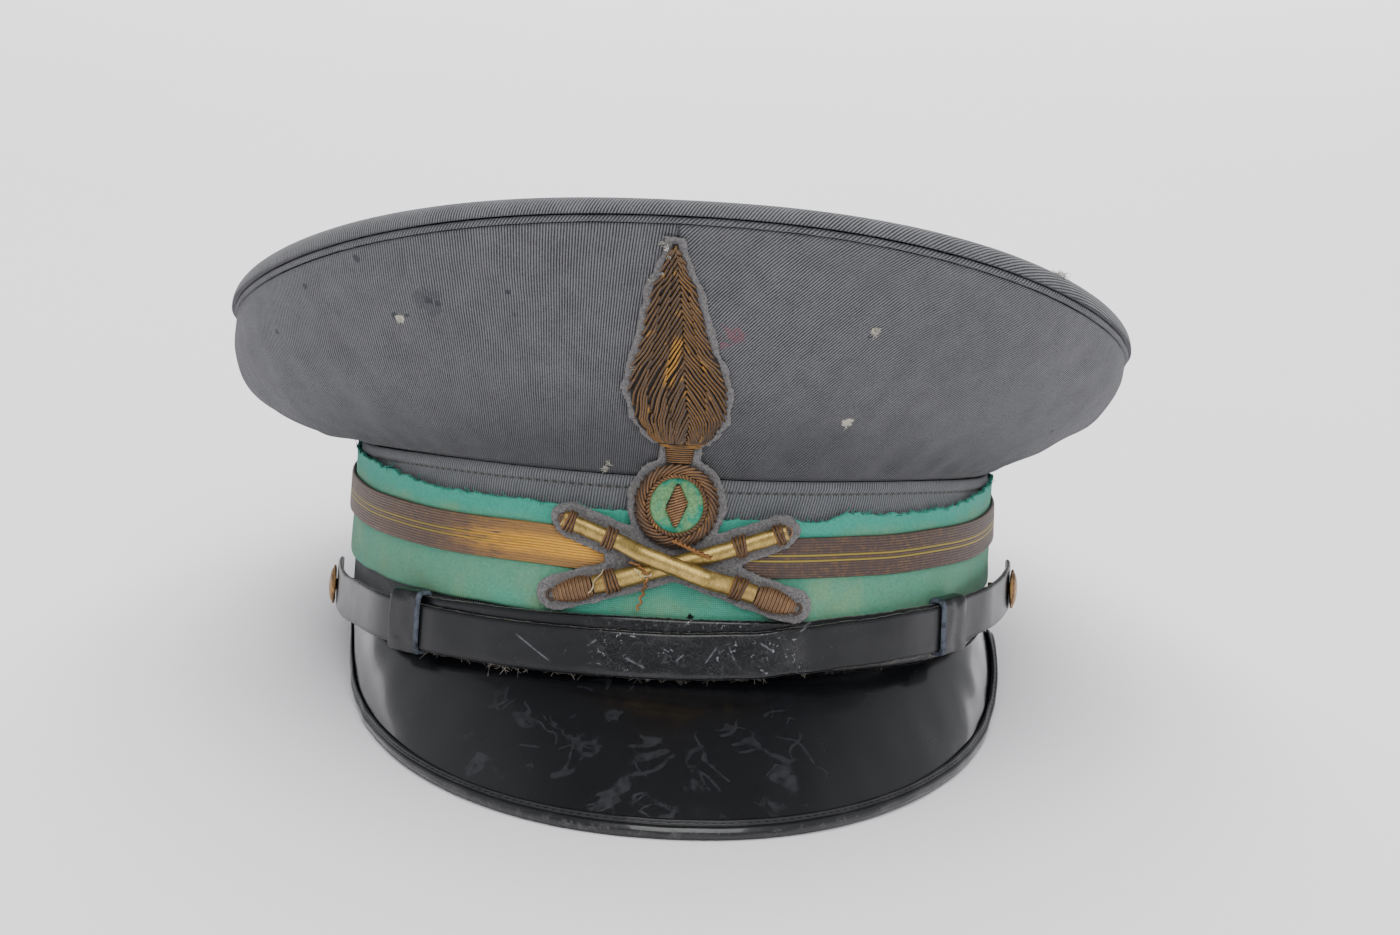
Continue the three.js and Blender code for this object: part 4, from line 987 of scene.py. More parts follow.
def chinStrap():
    def cracked(height):
        return lambda recipe: recipe.spot([10.0, -106.0, height], 34.0, 0.5).most(0.04)

    rightEnd, leftEnd = strap["rightLoop"] + loopHalf / 2, strap["leftLoop"] - loopHalf / 2
    strapLayer("strapFront", frontEdges, -strap["end"], rightEnd, "strap_front", 71, cracked(4.0))
    strapLayer("strapRear", rearEdges, leftEnd, strap["end"], "strap_rear", 75, cracked(8.0))


# Loop round both layers: at each angle a rectangle in height and standoff, its corners rounded by a
# superellipse, thickened outwards by the loop's wall.
def loopOutline(theta, grow, turn):
    rearLow, rearHigh, rearLowOut, rearHighOut = rearEdges(theta)
    frontLow, frontHigh, frontLowOut, frontHighOut = frontEdges(theta)
    spare = form["clearance"] + grow
    low = np.minimum(rearLow, frontLow) - spare
    high = np.maximum(rearHigh, frontHigh) + spare
    inLow, inHigh = rearLowOut - spare, np.minimum(rearLowOut, rearHighOut) - spare
    outLow, outHigh = frontLowOut + strap["wall"] + spare, frontHighOut + strap["wall"] + spare
    c, s = np.cos(turn), np.sin(turn)
    up, outwards = 0.5 + 0.5 * signedPower(s, 0.28), 0.5 + 0.5 * signedPower(c, 0.5)
    edges = (low, high, inLow, inHigh, outLow, outHigh)
    low, high, inLow, inHigh, outLow, outHigh = (edge[:, None] for edge in edges)
    height = mix(low, high, up)
    standoff = mix(mix(inLow, inHigh, up), mix(outLow, outHigh, up), outwards)
    base = bandPoint(theta[:, None], np.maximum(height, 0), standoff)
    return stack(base[..., 0], base[..., 1], height)


def strapLoop(name, middle, replaced, seed):
    inwards = middle < 0
    across = np.linspace(-1, 1, 22)
    theta = np.radians(middle) + np.radians(loopHalf) * across
    turn = turns(120)[None, :]
    edge = strap["loopWall"] * roundedEnd((np.abs(across) - 0.9) / 0.1)
    outer = loopOutline(theta, 0.15 + edge * 0.85, turn)
    outer = outer + levelOut(outer) * (0.12 * ripples(outer, 6, seed))[..., None]
    inner = loopOutline(theta, 0.0, turn)
    grid = np.concatenate([outer, inner[::-1]])
    recipe, cracks, broad, dust = leatherRecipe(name + "Leather", lambda r: 0.35)
    cut = recipe.tone()
    recipe.tint(cut * recipe.noise(2.5, 4.0, 0.7).step(0.3, 0.55) * 0.7, 96, 104, 118)
    rough = 0.24 + broad * 0.12 + dust * 0.06 + cut * 0.4
    material = recipe.finish(rough, recipe.noise(1.6, 4.0) * 0.15 - cracks, 0.06)
    tone = np.zeros(grid.shape[:2])
    tone[-1:] = tone[:2] = 0.25 if inwards else 1.0
    tone[len(theta) - 2:len(theta) + 1] = 1.0 if inwards else 0.25
    makePiece(name, [gridPart(grid, True, True, tone=tone)], "strap_leather", material, replaced)


# Side button: a turned dome with a rolled rim on a shank, its profile of radii and heights smoothed.
button = {
    "radius": 5.2, "rise": 1.8, "shank": 1.5, "angle": 78.0, "rim": 0.35, "rimLevel": 0.45, "domeLevel": 0.7,
}


def sideButton(name, theta, edgesAt, replaced):
    def face(angle, across):
        t = np.array([angle])
        return strapPoint(edgesAt(t), t, np.array([[across]]), np.array([[strap["wall"]]]))[0, 0]

    axis = surfaceNormal(face, theta, 0.5)
    seat = face(theta, 0.5) + axis * form["clearance"]
    depth = edgesAt(np.array([theta]))[3][0] + strap["wall"]
    radius, rise = button["radius"], button["rise"]
    dome, bend = np.linspace(0, math.pi / 2, 24), np.linspace(-1.6, 1.6, 12)
    shank, rim, level = button["shank"], button["rim"], button["domeLevel"]
    rimRadii, rimHeights = radius - rim + rim * np.cos(bend), button["rimLevel"] + rim * np.sin(bend)
    radii = np.concatenate([[0, shank, shank, radius * 0.8], rimRadii, (radius - 0.75) * np.cos(dome)])
    heights = np.concatenate([[-depth, -depth, 0, 0], rimHeights, level + (rise - level) * np.sin(dome)])
    turn = turns(72)
    side = unit(np.cross(axis, [0, 0, 1.0]))
    up = np.cross(axis, side)
    ring = np.cos(turn)[:, None] * side + np.sin(turn)[:, None] * up
    grid = seat + ring[:, None] * radii[None, :, None] + axis * heights[None, :, None]
    recipe = Recipe(name + "Brass", Specular_IOR_Level=0.5)
    tarnish = recipe.noise(2.4, 5.0, 0.65)
    recipe.colour = recipe.blend(tarnish.step(0.35, 0.65), eye(92, 66, 42), eye(168, 132, 84))
    material = recipe.finish(0.34 + tarnish * 0.25, recipe.noise(0.9, 4.0), 0.05, 0.85)
    makePiece(name, [gridPart(grid, True, False)], "button_brass", material, replaced)


# Front of the cap under the badge: an oval that widens with height, with a step at the green edge.
badge = {"felt": 1.0, "margin": 1.7, "seatLow": 1.4, "seatHigh": -1.0, "stepBottom": 36.575, "seat": 1.3}


def frontPoint(across, height, lift):
    bandTop, rimTop = form["bandHeightFront"], form["rimHeightFront"]
    rise = np.maximum((height - bandTop) / (rimTop - bandTop), 0)
    narrowing = 1 - form["bandTaper"] * np.minimum(height / bandTop, 1)
    step = (height - badge["stepBottom"]) / (bandTop - badge["stepBottom"])
    out = mix(badge["seatLow"], badge["seatHigh"], smooth(step)) + lift
    halfWidth, halfLength = (
        mix(form["bandHalf" + way] * narrowing, form["rimHalf" + way] - form["bandOuter"], rise) + out
        for way in ("Width", "Length"))
    share = (1 - np.abs(across / halfWidth) ** form["power"]) ** (1 / form["power"])
    return stack(across, -halfLength * share - form["rimOffset"] * rise, height)


# Badge: flame rows are share of its height, half width and middle, both as shares of its half width;
# columns of purl are side, inner and outer share and fall. The cannons' outline is radius by share.
flame = {
    "bottom": 55.0, "top": 103.6, "halfWidth": 11.5, "rise": 2.2, "strand": 0.33, "pitch": 0.74,
    "rows": [
        [0, 0.45, 0.24], [0.06, 0.7, 0.23], [0.14, 0.92, 0.2], [0.27, 1, 0.14], [0.38, 0.92, 0.09],
        [0.48, 0.74, 0.05], [0.6, 0.61, 0.02], [0.76, 0.47, -0.02], [0.88, 0.25, -0.04], [1, 0.06, -0.04],
    ],
    "split": [[0, 0.2], [0.3, 0.17], [0.6, 0.25], [1, 0.33]],
    "columns": [
        (-1, 0.0, 0.36, 1.75), (-1, 0.33, 0.7, 2.3), (-1, 0.67, 1.0, 2.8),
        (1, 0.02, 0.55, 1.6), (1, 0.5, 1.0, 1.8),
    ],
}
roundel = {
    "x": 2.6, "z": 40.3, "radius": 10.0, "hole": 6.9, "rise": 2.2, "wraps": 34, "sweep": 0.62, "winds": 24,
}
lozenge = {"half": 2.7, "reach": 5.0, "tip": 0.1, "purls": 15}
cannon = {
    "x": 3.0, "z": 26.4, "radius": 2.6, "rise": 3.2, "breech": 11.5,
    "upper": {"slope": -0.336, "muzzle": 28.9, "breech": 32.1, "side": -1, "over": 1},
    "lower": {"slope": 0.323, "muzzle": 27.7, "breech": 31.6, "side": 1, "over": 0},
    "outline": [
        [-0.64, 0.9], [-0.56, 0.92], [-0.4, 0.9], [-0.3, 0.88], [0, 0.84],
        [0.32, 0.79], [0.6, 0.77], [0.88, 0.76], [0.93, 0.84], [1, 0.8],
    ],
    "rings": [
        ["breech", -0.5, 1.04, [-1.25, -0.4, 0.45, 1.25]], ["muzzle", 0.58, 0.95, [-1.05, -0.3, 0.45, 1.15]],
        ["muzzle", 0.93, 0.93, [-0.8, 0.0, 0.75]],
    ],
}


def flameHalf(share):
    return flame["halfWidth"] * lookUp(flame["rows"], share, 1)


def flameMiddle(share):
    return flame["halfWidth"] * lookUp(flame["rows"], share, 2)


def bullionRecipe(name, crown, gold, strand=0.34, patch=None, ribbed=False):
    recipe = Recipe(name, Specular_IOR_Level=0.5)
    u, v = recipe.weave()
    tone = recipe.tone()
    # Painted highlight: gold along one side of each strand, and on the flanks of each rib of a ribbed piece
    aside = (0.35 - abs(tone - 0.1)) * 3 if ribbed else (v / strand + math.pi / 2).sine()
    uneven = recipe.noise(2.2, 3.0, 0.6) - 0.5
    streak = recipe.noise(1.0, 2.0, 0.5, at=recipe.join(u * 0.00025, tone * 0.06))
    worn = (streak + uneven * 0.25).step(0.6, 0.72) * 0.5
    if patch:
        worn = worn.most(patch(recipe) * streak.step(0.3, 0.45))
    # A ribbed piece's tone falls to -1 in its grooves, so its body is darker there: painted shade
    dark = recipe.blend(0.4, crown, eye(40, 28, 22))
    body = recipe.blend((tone * 0.6 + uneven * 1.2 + 0.3).step(0.0, 1.0), dark, crown)
    recipe.colour = recipe.blend((aside + uneven * 0.6).step(0.1, 0.7), body, gold)
    recipe.colour = recipe.blend(worn, recipe.colour, recipe.blend(0.35, gold, eye(246, 186, 84)))
    coil = (u * (2 * math.pi / 0.3)).sine() * 0.5 + 0.5
    recipe.tint((1 - coil) * 0.1, 30, 20, 14)
    # Painted shade: dark brown on the far side of each strand, on the pads between the strands and in the
    # grooves of a ribbed piece
    groove = (1 - (aside + 0.95).step(0.0, 0.35)) * 0.6
    pad = (1 - (tone + 0.6).step(0.0, 0.5)).most(groove)
    recipe.tint(pad, 26, 18, 12)
    metal = 0.4 + worn * 0.4 - pad * 0.35
    return recipe.finish(0.42 - worn * 0.1 + pad * 0.3, coil, 0.02, metal)


# A piece of bullion work with its own recipe
def bullionPiece(name, parts, crown, gold, strand, *replaced, **more):
    material = bullionRecipe(name + "Gold", crown, gold, strand, **more)
    return makePiece(name, parts, "bullion", material, *replaced)


# Pad from rows of place across, height, half width and rise: the upper face arches between its edges
def padGrid(x, z, half, rise, base, columns=17):
    run = unit(np.stack([np.gradient(x), np.gradient(z)], -1))
    s = row(-1, 1, columns)
    across = x[:, None] + run[:, 1:] * half[:, None] * s
    height = z[:, None] - run[:, :1] * half[:, None] * s
    dome = padDome(s)
    upper = frontPoint(across, height, base + rise[:, None] * dome)
    lower = frontPoint(across, height, base)[:, ::-1]
    return np.concatenate([upper, lower], 1)


# Flame: a low pad, painted dark as shade between the strands, covered with strands of purl in herringbone
# columns, three on the left and two on the right. A strand goes outwards and down from share a to share b of
# the flame's half width.
def flamePiece():
    def riseAt(level):
        return mix(flame["rise"], flame["rise"] / 2, level)

    def heightAt(level):
        return mix(flame["bottom"], flame["top"], level)

    t = np.linspace(0, 1, 60)
    base, strand = badge["seat"], flame["strand"]
    tall = flame["top"] - flame["bottom"]
    parts = [sweepPart(padGrid(flameMiddle(t), heightAt(t), flameHalf(t) * 0.97, riseAt(t) - 0.6, base), -1.0)]
    rng = np.random.default_rng(91)
    k = row(0, 1, 12)
    for order, (side, a, b, fall) in enumerate(flame["columns"]):
        starts = np.arange(0.01 + 0.006 * order, 1.3, flame["pitch"] / tall * math.hypot(1, fall))
        inside = np.clip(starts, 0, 1)
        reach = flameHalf(inside) * (b - a) * (1 - side * lookUp(flame["split"], inside, 1))
        drop = reach[:, None] * fall + 0.6
        level = starts[:, None] - k * drop / tall + rng.normal(0, 0.001, (len(starts), 1))
        real = ((level > 0.012) & (level < 0.985)).sum(1) >= 2
        level = np.clip(level, 0.012, 0.985)
        share = mix(a, b, k) + 0.015 * ripples(stack(starts[:, None] * 40, k * 2, side), 3, 92)
        split = lookUp(flame["split"], level, 1)
        place = split + side * share * (1 - side * split)
        x = flameMiddle(level) + place * flameHalf(level)
        over = 0.22 * (a > 0.2) * (1 - k) + 0.14 * np.sin(k * math.pi)
        lift = base + riseAt(level) * padDome(place) - 0.34 + over
        paths = frontPoint(x, heightAt(level), lift)
        radius = strand * rng.uniform(0.95, 1.05, (real.sum(), 1))
        parts += tubeParts(paths[real], radius, 7, rng.uniform(0, 1, real.sum()))
    wraps, k = np.linspace(0, 1, 5)[:, None], row(-1, 1, 14)
    level = 54.9 + 0.7 * wraps - 0.4 * (1 - k ** 2) + 0.2 * ripples(stack(k * 5, wraps * 9, 0), 4, 93)
    parts += tubeParts(frontPoint(flameMiddle(0.0) + k * 4.9, level, base + 1.15), 0.28, 7, 0.3)

    def patch(recipe):
        return recipe.strokes([(1.6, 111.8, -1.2, 97.0)], 1.7) * 0.8

    bullionPiece("flameBullion", parts, eye(86, 72, 62), eye(140, 100, 46), strand, "flame", patch=patch)


# Neck: horizontal wraps over a narrow pad
def neckPiece():
    base = badge["seat"]
    k = row(-1, 1, 16)
    level = np.linspace(50.8, 54.5, 8)[:, None]
    half = mix(2.9, 3.5, (level - 50.7) / 4)
    dome = padDome(np.clip(k, -0.999, 0.999))
    paths = frontPoint(roundel["x"] + half * k, level, base + 1.8 * dome - 0.3)
    t = np.linspace(50.7, 54.7, 8)
    pad = padGrid(np.full(8, roundel["x"]), t, mix(2.8, 3.4, (t - 50.7) / 4), np.full(8, 1.2), base)
    parts = [sweepPart(pad, -1.0)] + tubeParts(paths, 0.25, 7, np.linspace(0.2, 0.7, 8))
    bullionPiece("neckWraps", parts, eye(88, 70, 56), eye(142, 104, 58), 0.25, "flame_neck")


def roundelPoint(angle, radius, lift):
    return frontPoint(roundel["x"] + radius * np.sin(angle), roundel["z"] + radius * np.cos(angle), lift)


# Roundel: slanting wraps round a ring, with a twisted cord inside them
def roundelRing():
    base, hole, size = badge["seat"], roundel["hole"], roundel["radius"]
    angle, share = turns(96)[:, None], row(0, 1, 9)
    arched = base + 0.4 + (roundel["rise"] - 1.0) * np.sin(share * math.pi)
    upper = roundelPoint(angle, mix(hole + 0.2, size - 0.2, share), arched)
    lower = roundelPoint(angle, mix(size - 0.2, hole + 0.2, share), base * np.ones_like(share))
    parts = [gridPart(np.concatenate([upper, lower], 1), True, True, tone=-1.0)]
    starts, k = turns(roundel["wraps"])[:, None], row(0, 1, 10)
    rng = np.random.default_rng(95)
    arch = base + 0.35 + (roundel["rise"] - 0.8) * np.sin(mix(0.12, 0.95, k) * math.pi) ** 0.7
    paths = roundelPoint(starts + k * roundel["sweep"], mix(hole + 0.5, size, k), arch)
    parts += tubeParts(paths, 0.4, 7, rng.uniform(0, 1, len(starts)))
    turn = turns(420)
    for phase in (0.0, math.pi):
        wind = turn * roundel["winds"] + phase
        cord = roundelPoint(turn, hole + 0.05 + 0.32 * np.cos(wind), base + 1.25 + 0.3 * np.sin(wind))
        parts.append(gridPart(cordRing(cord, 0.36), True, True, tone=0.8))
    bullionPiece("roundelRing", parts, eye(84, 68, 57), eye(150, 108, 66), 0.4, "roundel_ring")


# Closed round cord along a closed path
def cordRing(path, radius, sides=6):
    tangent = unit(np.roll(path, -1, 0) - np.roll(path, 1, 0))
    side = unit(np.cross(tangent, [0.0, -1.0, 0.2]))
    up = np.cross(side, tangent)
    angle = turns(sides)[None, :, None]
    return path[:, None] + radius * (np.cos(angle) * side[:, None] + np.sin(angle) * up[:, None])


# Ground of the roundel: a disc of green cloth, polar rings with the middle closed
def roundelGround():
    angle = turns(72)[:, None]
    radius = row(0, roundel["hole"] - 0.3, 14)
    uneven = 0.1 * ripples(roundelPoint(angle, radius, 0.0), 3, 97) * (radius > 0)
    upper = roundelPoint(angle, radius, badge["seat"] + 0.8 + uneven)
    lower = roundelPoint(angle, radius, badge["seat"])[:, ::-1]
    recipe = Recipe("roundelGreen", Specular_IOR_Level=0.2, Sheen_Weight=0.1)
    fade, nap = recipe.noise(4.0, 3.0), recipe.noise(0.6, 4.0, 0.7)
    recipe.colour = recipe.blend(fade.step(0.4, 0.6), eye(48, 156, 128), eye(124, 170, 118))
    recipe.colour = recipe.blend(nap.step(0.3, 0.7) * 0.6 + 0.4, eye(20, 76, 64), recipe.colour)
    material = recipe.finish(0.95, nap, 0.08)
    part = gridPart(np.concatenate([upper, lower], 1), True, True)
    makePiece("roundelGround", [part], "green_cloth", material, "roundel_ground")


# Lozenge: short slanting purls side by side over a pad that narrows to both ends
def lozengePiece():
    def halfAt(level):
        return lozenge["half"] * mix(1, lozenge["tip"], np.abs(level)) * 0.95

    base = badge["seat"] + 1.1
    t = np.linspace(-1, 1, 21)
    x, z, tall = roundel["x"], roundel["z"], lozenge["reach"]
    pad = padGrid(np.full(21, x), z + tall * t, halfAt(t), np.full(21, 0.8), base)
    level, k = np.linspace(-0.88, 0.88, lozenge["purls"])[:, None], row(-1, 1, 9)
    lift = base + 1.3 * padDome(math.sqrt(0.98) * k) - 0.3
    paths = frontPoint(x + halfAt(level) * k, z + tall * level + halfAt(level) * k * 0.35, lift)
    parts = [sweepPart(pad, -1.0)] + tubeParts(paths, 0.28, 7, np.linspace(0.3, 1, lozenge["purls"]))
    bullionPiece("roundelLozenge", parts, eye(120, 92, 70), eye(190, 142, 90), 0.28, "roundel_lozenge")


# Place on a cannon: along it from the crossing, aside from its axis and lifted; the upper one
# bridges the lower one near the crossing.
def cannonPoint(one, along, aside, lift):
    length = math.hypot(1, one["slope"])
    run = (1 / length, one["slope"] / length)
    span = cannon["radius"] * 3
    over = one["over"] * (cannon["rise"] + form["clearance"])
    bridge = over * (1 - smooth((np.abs(along) - span) / span))
    across = cannon["x"] + run[0] * along - run[1] * aside
    return frontPoint(across, cannon["z"] + run[1] * along + run[0] * aside, badge["seat"] + bridge + lift)


# Rod of round section: radius by place along it, flattened to the cannon's rise
def cannonRod(one, along, radius, sides=28):
    angle = turns(sides)[None, :]
    radius = radius[:, None]
    lift = cannon["rise"] / 2 * (1 + np.sin(angle) * np.minimum(radius, 1.12)) + 0.02
    return cannonPoint(one, along[:, None], np.cos(angle) * radius * cannon["radius"], lift)


# Rings wound round a cannon at a place along it
def cannonRings(one, places, radius, thick=0.37):
    angle = turns(30)[None, :]
    places = np.asarray(places, float)[:, None]
    radius = np.broadcast_to(np.asarray(radius, float), (len(places),))[:, None]
    lift = cannon["rise"] / 2 * (1 + np.sin(angle) * np.minimum(radius, 1.14) * 1.02)
    lean = 0.3 * np.sin(places * 7.0) * np.cos(angle)
    paths = cannonPoint(one, places + lean, np.cos(angle) * radius * cannon["radius"], lift)
    tones = 0.3 + 0.5 * (np.arange(len(paths)) % 2)
    return [gridPart(cordRing(path, thick), True, True, tone=tone) for path, tone in zip(paths, tones)]


# Cord wound round the end of a cannon, of a size along it and across it
def endCoil(one, way, place, along, across, lift, thick, tone):
    turn = turns(40)
    path = cannonPoint(one, way * (place + along * np.cos(turn)), across * np.sin(turn), lift + 0.0 * turn)
    return gridPart(cordRing(path, thick), True, True, tone=tone)


def cannonMaterial(name):
    recipe = Recipe(name, Specular_IOR_Level=0.5)
    u, v = recipe.weave()
    part = recipe.tone()
    threads = (u * (2 * math.pi / 0.34) + recipe.noise(2.0) * 5.0).sine() * 0.5 + 0.5
    tarnish = recipe.noise(3.0, 5.0, 0.7)
    scratch = recipe.noise(1.0, 3.0, 0.6, at=recipe.join(u * 0.004, v * 0.0008))
    bare = (tarnish * 0.6 + scratch * 0.4).step(0.3, 0.62)
    recipe.colour = recipe.blend(bare, eye(132, 110, 62), eye(196, 168, 98))
    recipe.tint((1 - part.step(0.8, 0.98)) * 0.4, 128, 98, 66)
    recipe.tint(recipe.noise(0.9, 4.0, 0.7).step(0.6, 0.72) * 0.45, 84, 64, 50)
    recipe.tint((1 - threads) * 0.2, 88, 72, 42)
    shine = scratch.step(0.55, 0.72)
    recipe.tint(shine * 0.4, 232, 210, 150)
    rough = 0.3 + tarnish * 0.12 - shine * 0.08
    return recipe.finish(rough, threads * 0.4 + scratch * 0.4, 0.05, 0.85)


# Cannon: a wound rod from breech to muzzle with rings round it, and a ribbed breech at its end
def cannonPiece(name, one, replaced, breechName, breechReplaced):
    side, breech, muzzle = one["side"], one["breech"], one["muzzle"]
    shortest = cannon["outline"][0][0]
    reach = np.linspace(shortest * breech, muzzle, 150)
    share = np.where(reach < 0, reach / breech, reach / muzzle)
    radius = np.interp(share, *zip(*cannon["outline"]))
    radius = radius * (1 + 0.008 * ripples(stack(reach, 0, 0), 6, 101))
    tone = np.interp(share, [-0.64, -0.47, -0.45, 0.9, 0.92, 1], [0.7, 0.7, 1, 1, 0.4, 0.4])
    parts = [sweepPart(cannonRod(one, side * reach, radius), tone[:, None])]
    makePiece(name, parts, "bullion", cannonMaterial(name + "Gold"), replaced)
    rings = []
    for part, at, size, offsets in cannon["rings"]:
        rings += cannonRings(one, side * (at * one[part] + np.array(offsets)), size)
    rings.append(endCoil(one, side, muzzle - 0.1, 0.95, 1.0, 1.7, 0.4, 0.8))
    bullionPiece(name + "Rings", rings, eye(90, 70, 56), eye(150, 108, 62), 0.37)
    start = -shortest * breech + form["clearance"]
    end = min(start + cannon["breech"], breech)
    reach = np.linspace(start, end - 1.2, 150)
    share = (reach - start) / (end - start)
    outline = np.interp(share, [0, 0.2, 0.45, 0.75, 0.88, 1], [0.95, 1.2, 1.15, 0.82, 0.48, 0.4])
    ribs = np.abs(np.sin(share * math.pi * 12)) ** 0.7
    rod = cannonRod(one, -side * reach, outline * (0.84 + 0.18 * ribs))
    coil = endCoil(one, -side, end - 0.9, 1.05, 1.15, 1.5, 0.42, 1.0)
    parts = [sweepPart(rod, mix(-1.0, 0.6, ribs)[:, None]), coil]
    bullionPiece(breechName, parts, eye(104, 84, 68), eye(156, 112, 64), 0.42, breechReplaced, ribbed=True)


# Felt under the badge: a fine sheet of square cells, kept where a distance to the joined outlines is
# negative; points of its rim are drawn onto the outline. A ragged term makes the cut uneven.
def feltDistance(x, z):
    margin = badge["margin"]
    share = np.clip((z - flame["bottom"]) / (flame["top"] - flame["bottom"]), 0, 1)
    half = np.where(z < flame["bottom"], 3.4, flameHalf(share)) + margin
    inFlame = np.abs(x - np.where(z < flame["bottom"], roundel["x"], flameMiddle(share))) - half
    flameArea = np.maximum(np.maximum(inFlame * 0.9, z - flame["top"] - margin), roundel["z"] - z)
    disc = np.hypot(x - roundel["x"], z - roundel["z"]) - roundel["radius"] - margin
    arms = []
    for one in (cannon["upper"], cannon["lower"]):
        length = math.hypot(1, one["slope"])
        run = (1 / length, one["slope"] / length)
        along = (x - cannon["x"]) * run[0] + (z - cannon["z"]) * run[1]
        aside = (z - cannon["z"]) * run[0] - (x - cannon["x"]) * run[1]
        left, right = (one["muzzle"], one["breech"]) if one["side"] < 0 else (one["breech"], one["muzzle"])
        beyond = np.maximum(np.maximum(along - right + 2.5, -along - left + 2.5), 0)
        arms.append(np.hypot(beyond * 0.8, aside) - cannon["radius"] - margin)
    web = np.maximum.reduce([21.4 + 0.05 * (x - 3) - z, z - 28.0, x - 4.5, -14.0 - x])
    ragged = 0.2 * ripples(stack(x, z, 0), 5.5, 111) + 0.12 * ripples(stack(x, z, 0), 1.4, 112)
    return np.minimum.reduce([flameArea, disc, web, *arms]) + ragged


def feltPiece():
    step = 0.5
    x = np.arange(-34.0, 41.0, step)
    z = np.arange(8.0, 108.0, step)
    gridX, gridZ = np.meshgrid(x, z, indexing="ij")
    inside = feltDistance(gridX, gridZ) < step * 0.45
    cells = inside[:-1, :-1] & inside[1:, :-1] & inside[1:, 1:] & inside[:-1, 1:]
    i, j = np.nonzero(cells)
    number = np.arange(gridX.size).reshape(gridX.shape)
    quads = np.stack([number[i, j], number[i + 1, j], number[i + 1, j + 1], number[i, j + 1]], -1)
    edges = np.concatenate([quads[:, [k, (k + 1) % 4]] for k in range(4)])
    low, high = edges.min(1), edges.max(1)
    key, first, count = np.unique(low * gridX.size + high, return_index=True, return_counts=True)
    rim = edges[first[count == 1]]
    px, pz = gridX.ravel().copy(), gridZ.ravel().copy()
    border = np.unique(rim)
    for _ in range(4):
        d = feltDistance(px[border], pz[border])
        dx = (feltDistance(px[border] + 0.05, pz[border]) - d) / 0.05
        dz = (feltDistance(px[border], pz[border] + 0.05) - d) / 0.05
        pull = np.clip(d / np.maximum(dx * dx + dz * dz, 0.25), -0.2, 0.2)
        px[border] -= pull * dx
        pz[border] -= pull * dz
    thick = np.ones_like(px)
    thick[border] = 0.75
    nap = 0.07 * ripples(stack(px, pz, 0), 1.6, 113)
    upper = frontPoint(px, pz, badge["felt"] * thick + nap)
    lower = frontPoint(px, pz, 0.0)
    points = np.concatenate([upper, lower])
    walls = np.stack([rim[:, 0], rim[:, 1], rim[:, 1] + gridX.size, rim[:, 0] + gridX.size], -1)[:, ::-1]
    faces = np.concatenate([quads, quads[:, ::-1] + gridX.size, walls])
    used, faces = np.unique(faces, return_inverse=True)
    faces = faces.reshape(-1, 4)
    flat = points[used]
    a, b, c, d = (flat[faces[:, k]] - flat.mean(0) for k in range(4))
    if (np.cross(b, c) * a).sum() + (np.cross(c, d) * a).sum() < 0:
        faces = faces[:, ::-1]
    plan = flat[:, [0, 2]] / 100
    recipe = Recipe("badgeFelt", Sheen_Weight=0.2, Sheen_Roughness=0.6, Specular_IOR_Level=0.15)
    fuzz = recipe.noise(0.55, 4.0, 0.75)
    clouds = recipe.noise(5.0, 3.0)
    recipe.colour = recipe.blend(fuzz.step(0.3, 0.7), eye(76, 75, 77), eye(128, 126, 125))
    recipe.tint(clouds.step(0.45, 0.75) * 0.4, 100, 92, 88)
    material = recipe.finish(1.0, fuzz, 0.2)
    part = (flat, faces, plan[faces], np.zeros(len(flat)))
    makePiece("badgeFelt", [part], "badge_felt", material, "badge_felt")


# Loose fibres: each starts at a root, leaves it in a direction and curls by a smooth random bend.
def fibrePaths(roots, direction, length, curl, seed, points=6):
    rng = np.random.default_rng(seed)
    count = len(roots)
    t = np.linspace(0, 1, points)[None, :, None]
    way = unit(direction + rng.normal(0, 0.55, (count, 3)))
    bend = rng.normal(0, 1, (count, 1, 3))
    size = (length * rng.uniform(0.35, 1.0, count) ** 1.3)[:, None, None]
    return roots[:, None] + size * (way[:, None] * t + curl * bend * t * t)


def fibreMaterial(name, light, dark):
    recipe = Recipe(name, Specular_IOR_Level=0.2)
    recipe.colour = recipe.blend(recipe.noise(2.0, 2.0).step(0.35, 0.65), dark, light)
    return recipe.finish(0.9)


def strapFringe():
    rng = np.random.default_rng(121)
    clumps = np.concatenate([rng.uniform(-38, 24, 20), rng.uniform(-36, -14, 10), rng.uniform(20, 48, 10)])
    theta = np.radians(np.repeat(clumps, 3) + rng.normal(0, 0.6, 120))
    edge = strapPoint(frontEdges(theta), theta, np.full((1, 1), 0.0), np.full((1, 1), 0.75))[:, 0]
    outward = levelOut(edge)
    lean = stack(rng.choice([-1.0, 1.0], len(theta)) * 0.8, 0, -0.7) + outward * 0.2
    paths = fibrePaths(edge, lean, 2.2, 0.3, 122)
    material = fibreMaterial("strapThread", eye(150, 144, 136), eye(84, 80, 76))
    makePiece("strapFringe", tubeParts(paths, 0.06, 3), "strap_leather", material)


def greenFringe():
    rng = np.random.default_rng(131)
    theta = np.radians(np.concatenate([rng.uniform(-80, 80, 330), rng.uniform(-180, 180, 160)]))
    roots = bandPoint(theta, greenTopAt(theta) - 0.2, green["lift"] * 0.5 - 0.2)
    outward = levelOut(roots)
    paths = fibrePaths(roots, stack(0, 0, 0.8) + outward * 0.5, 1.5, 0.4, 132)
    material = fibreMaterial("greenThread", eye(70, 160, 142), eye(30, 104, 96))
    makePiece("greenFringe", tubeParts(paths, 0.08, 3), "green_cloth", material)


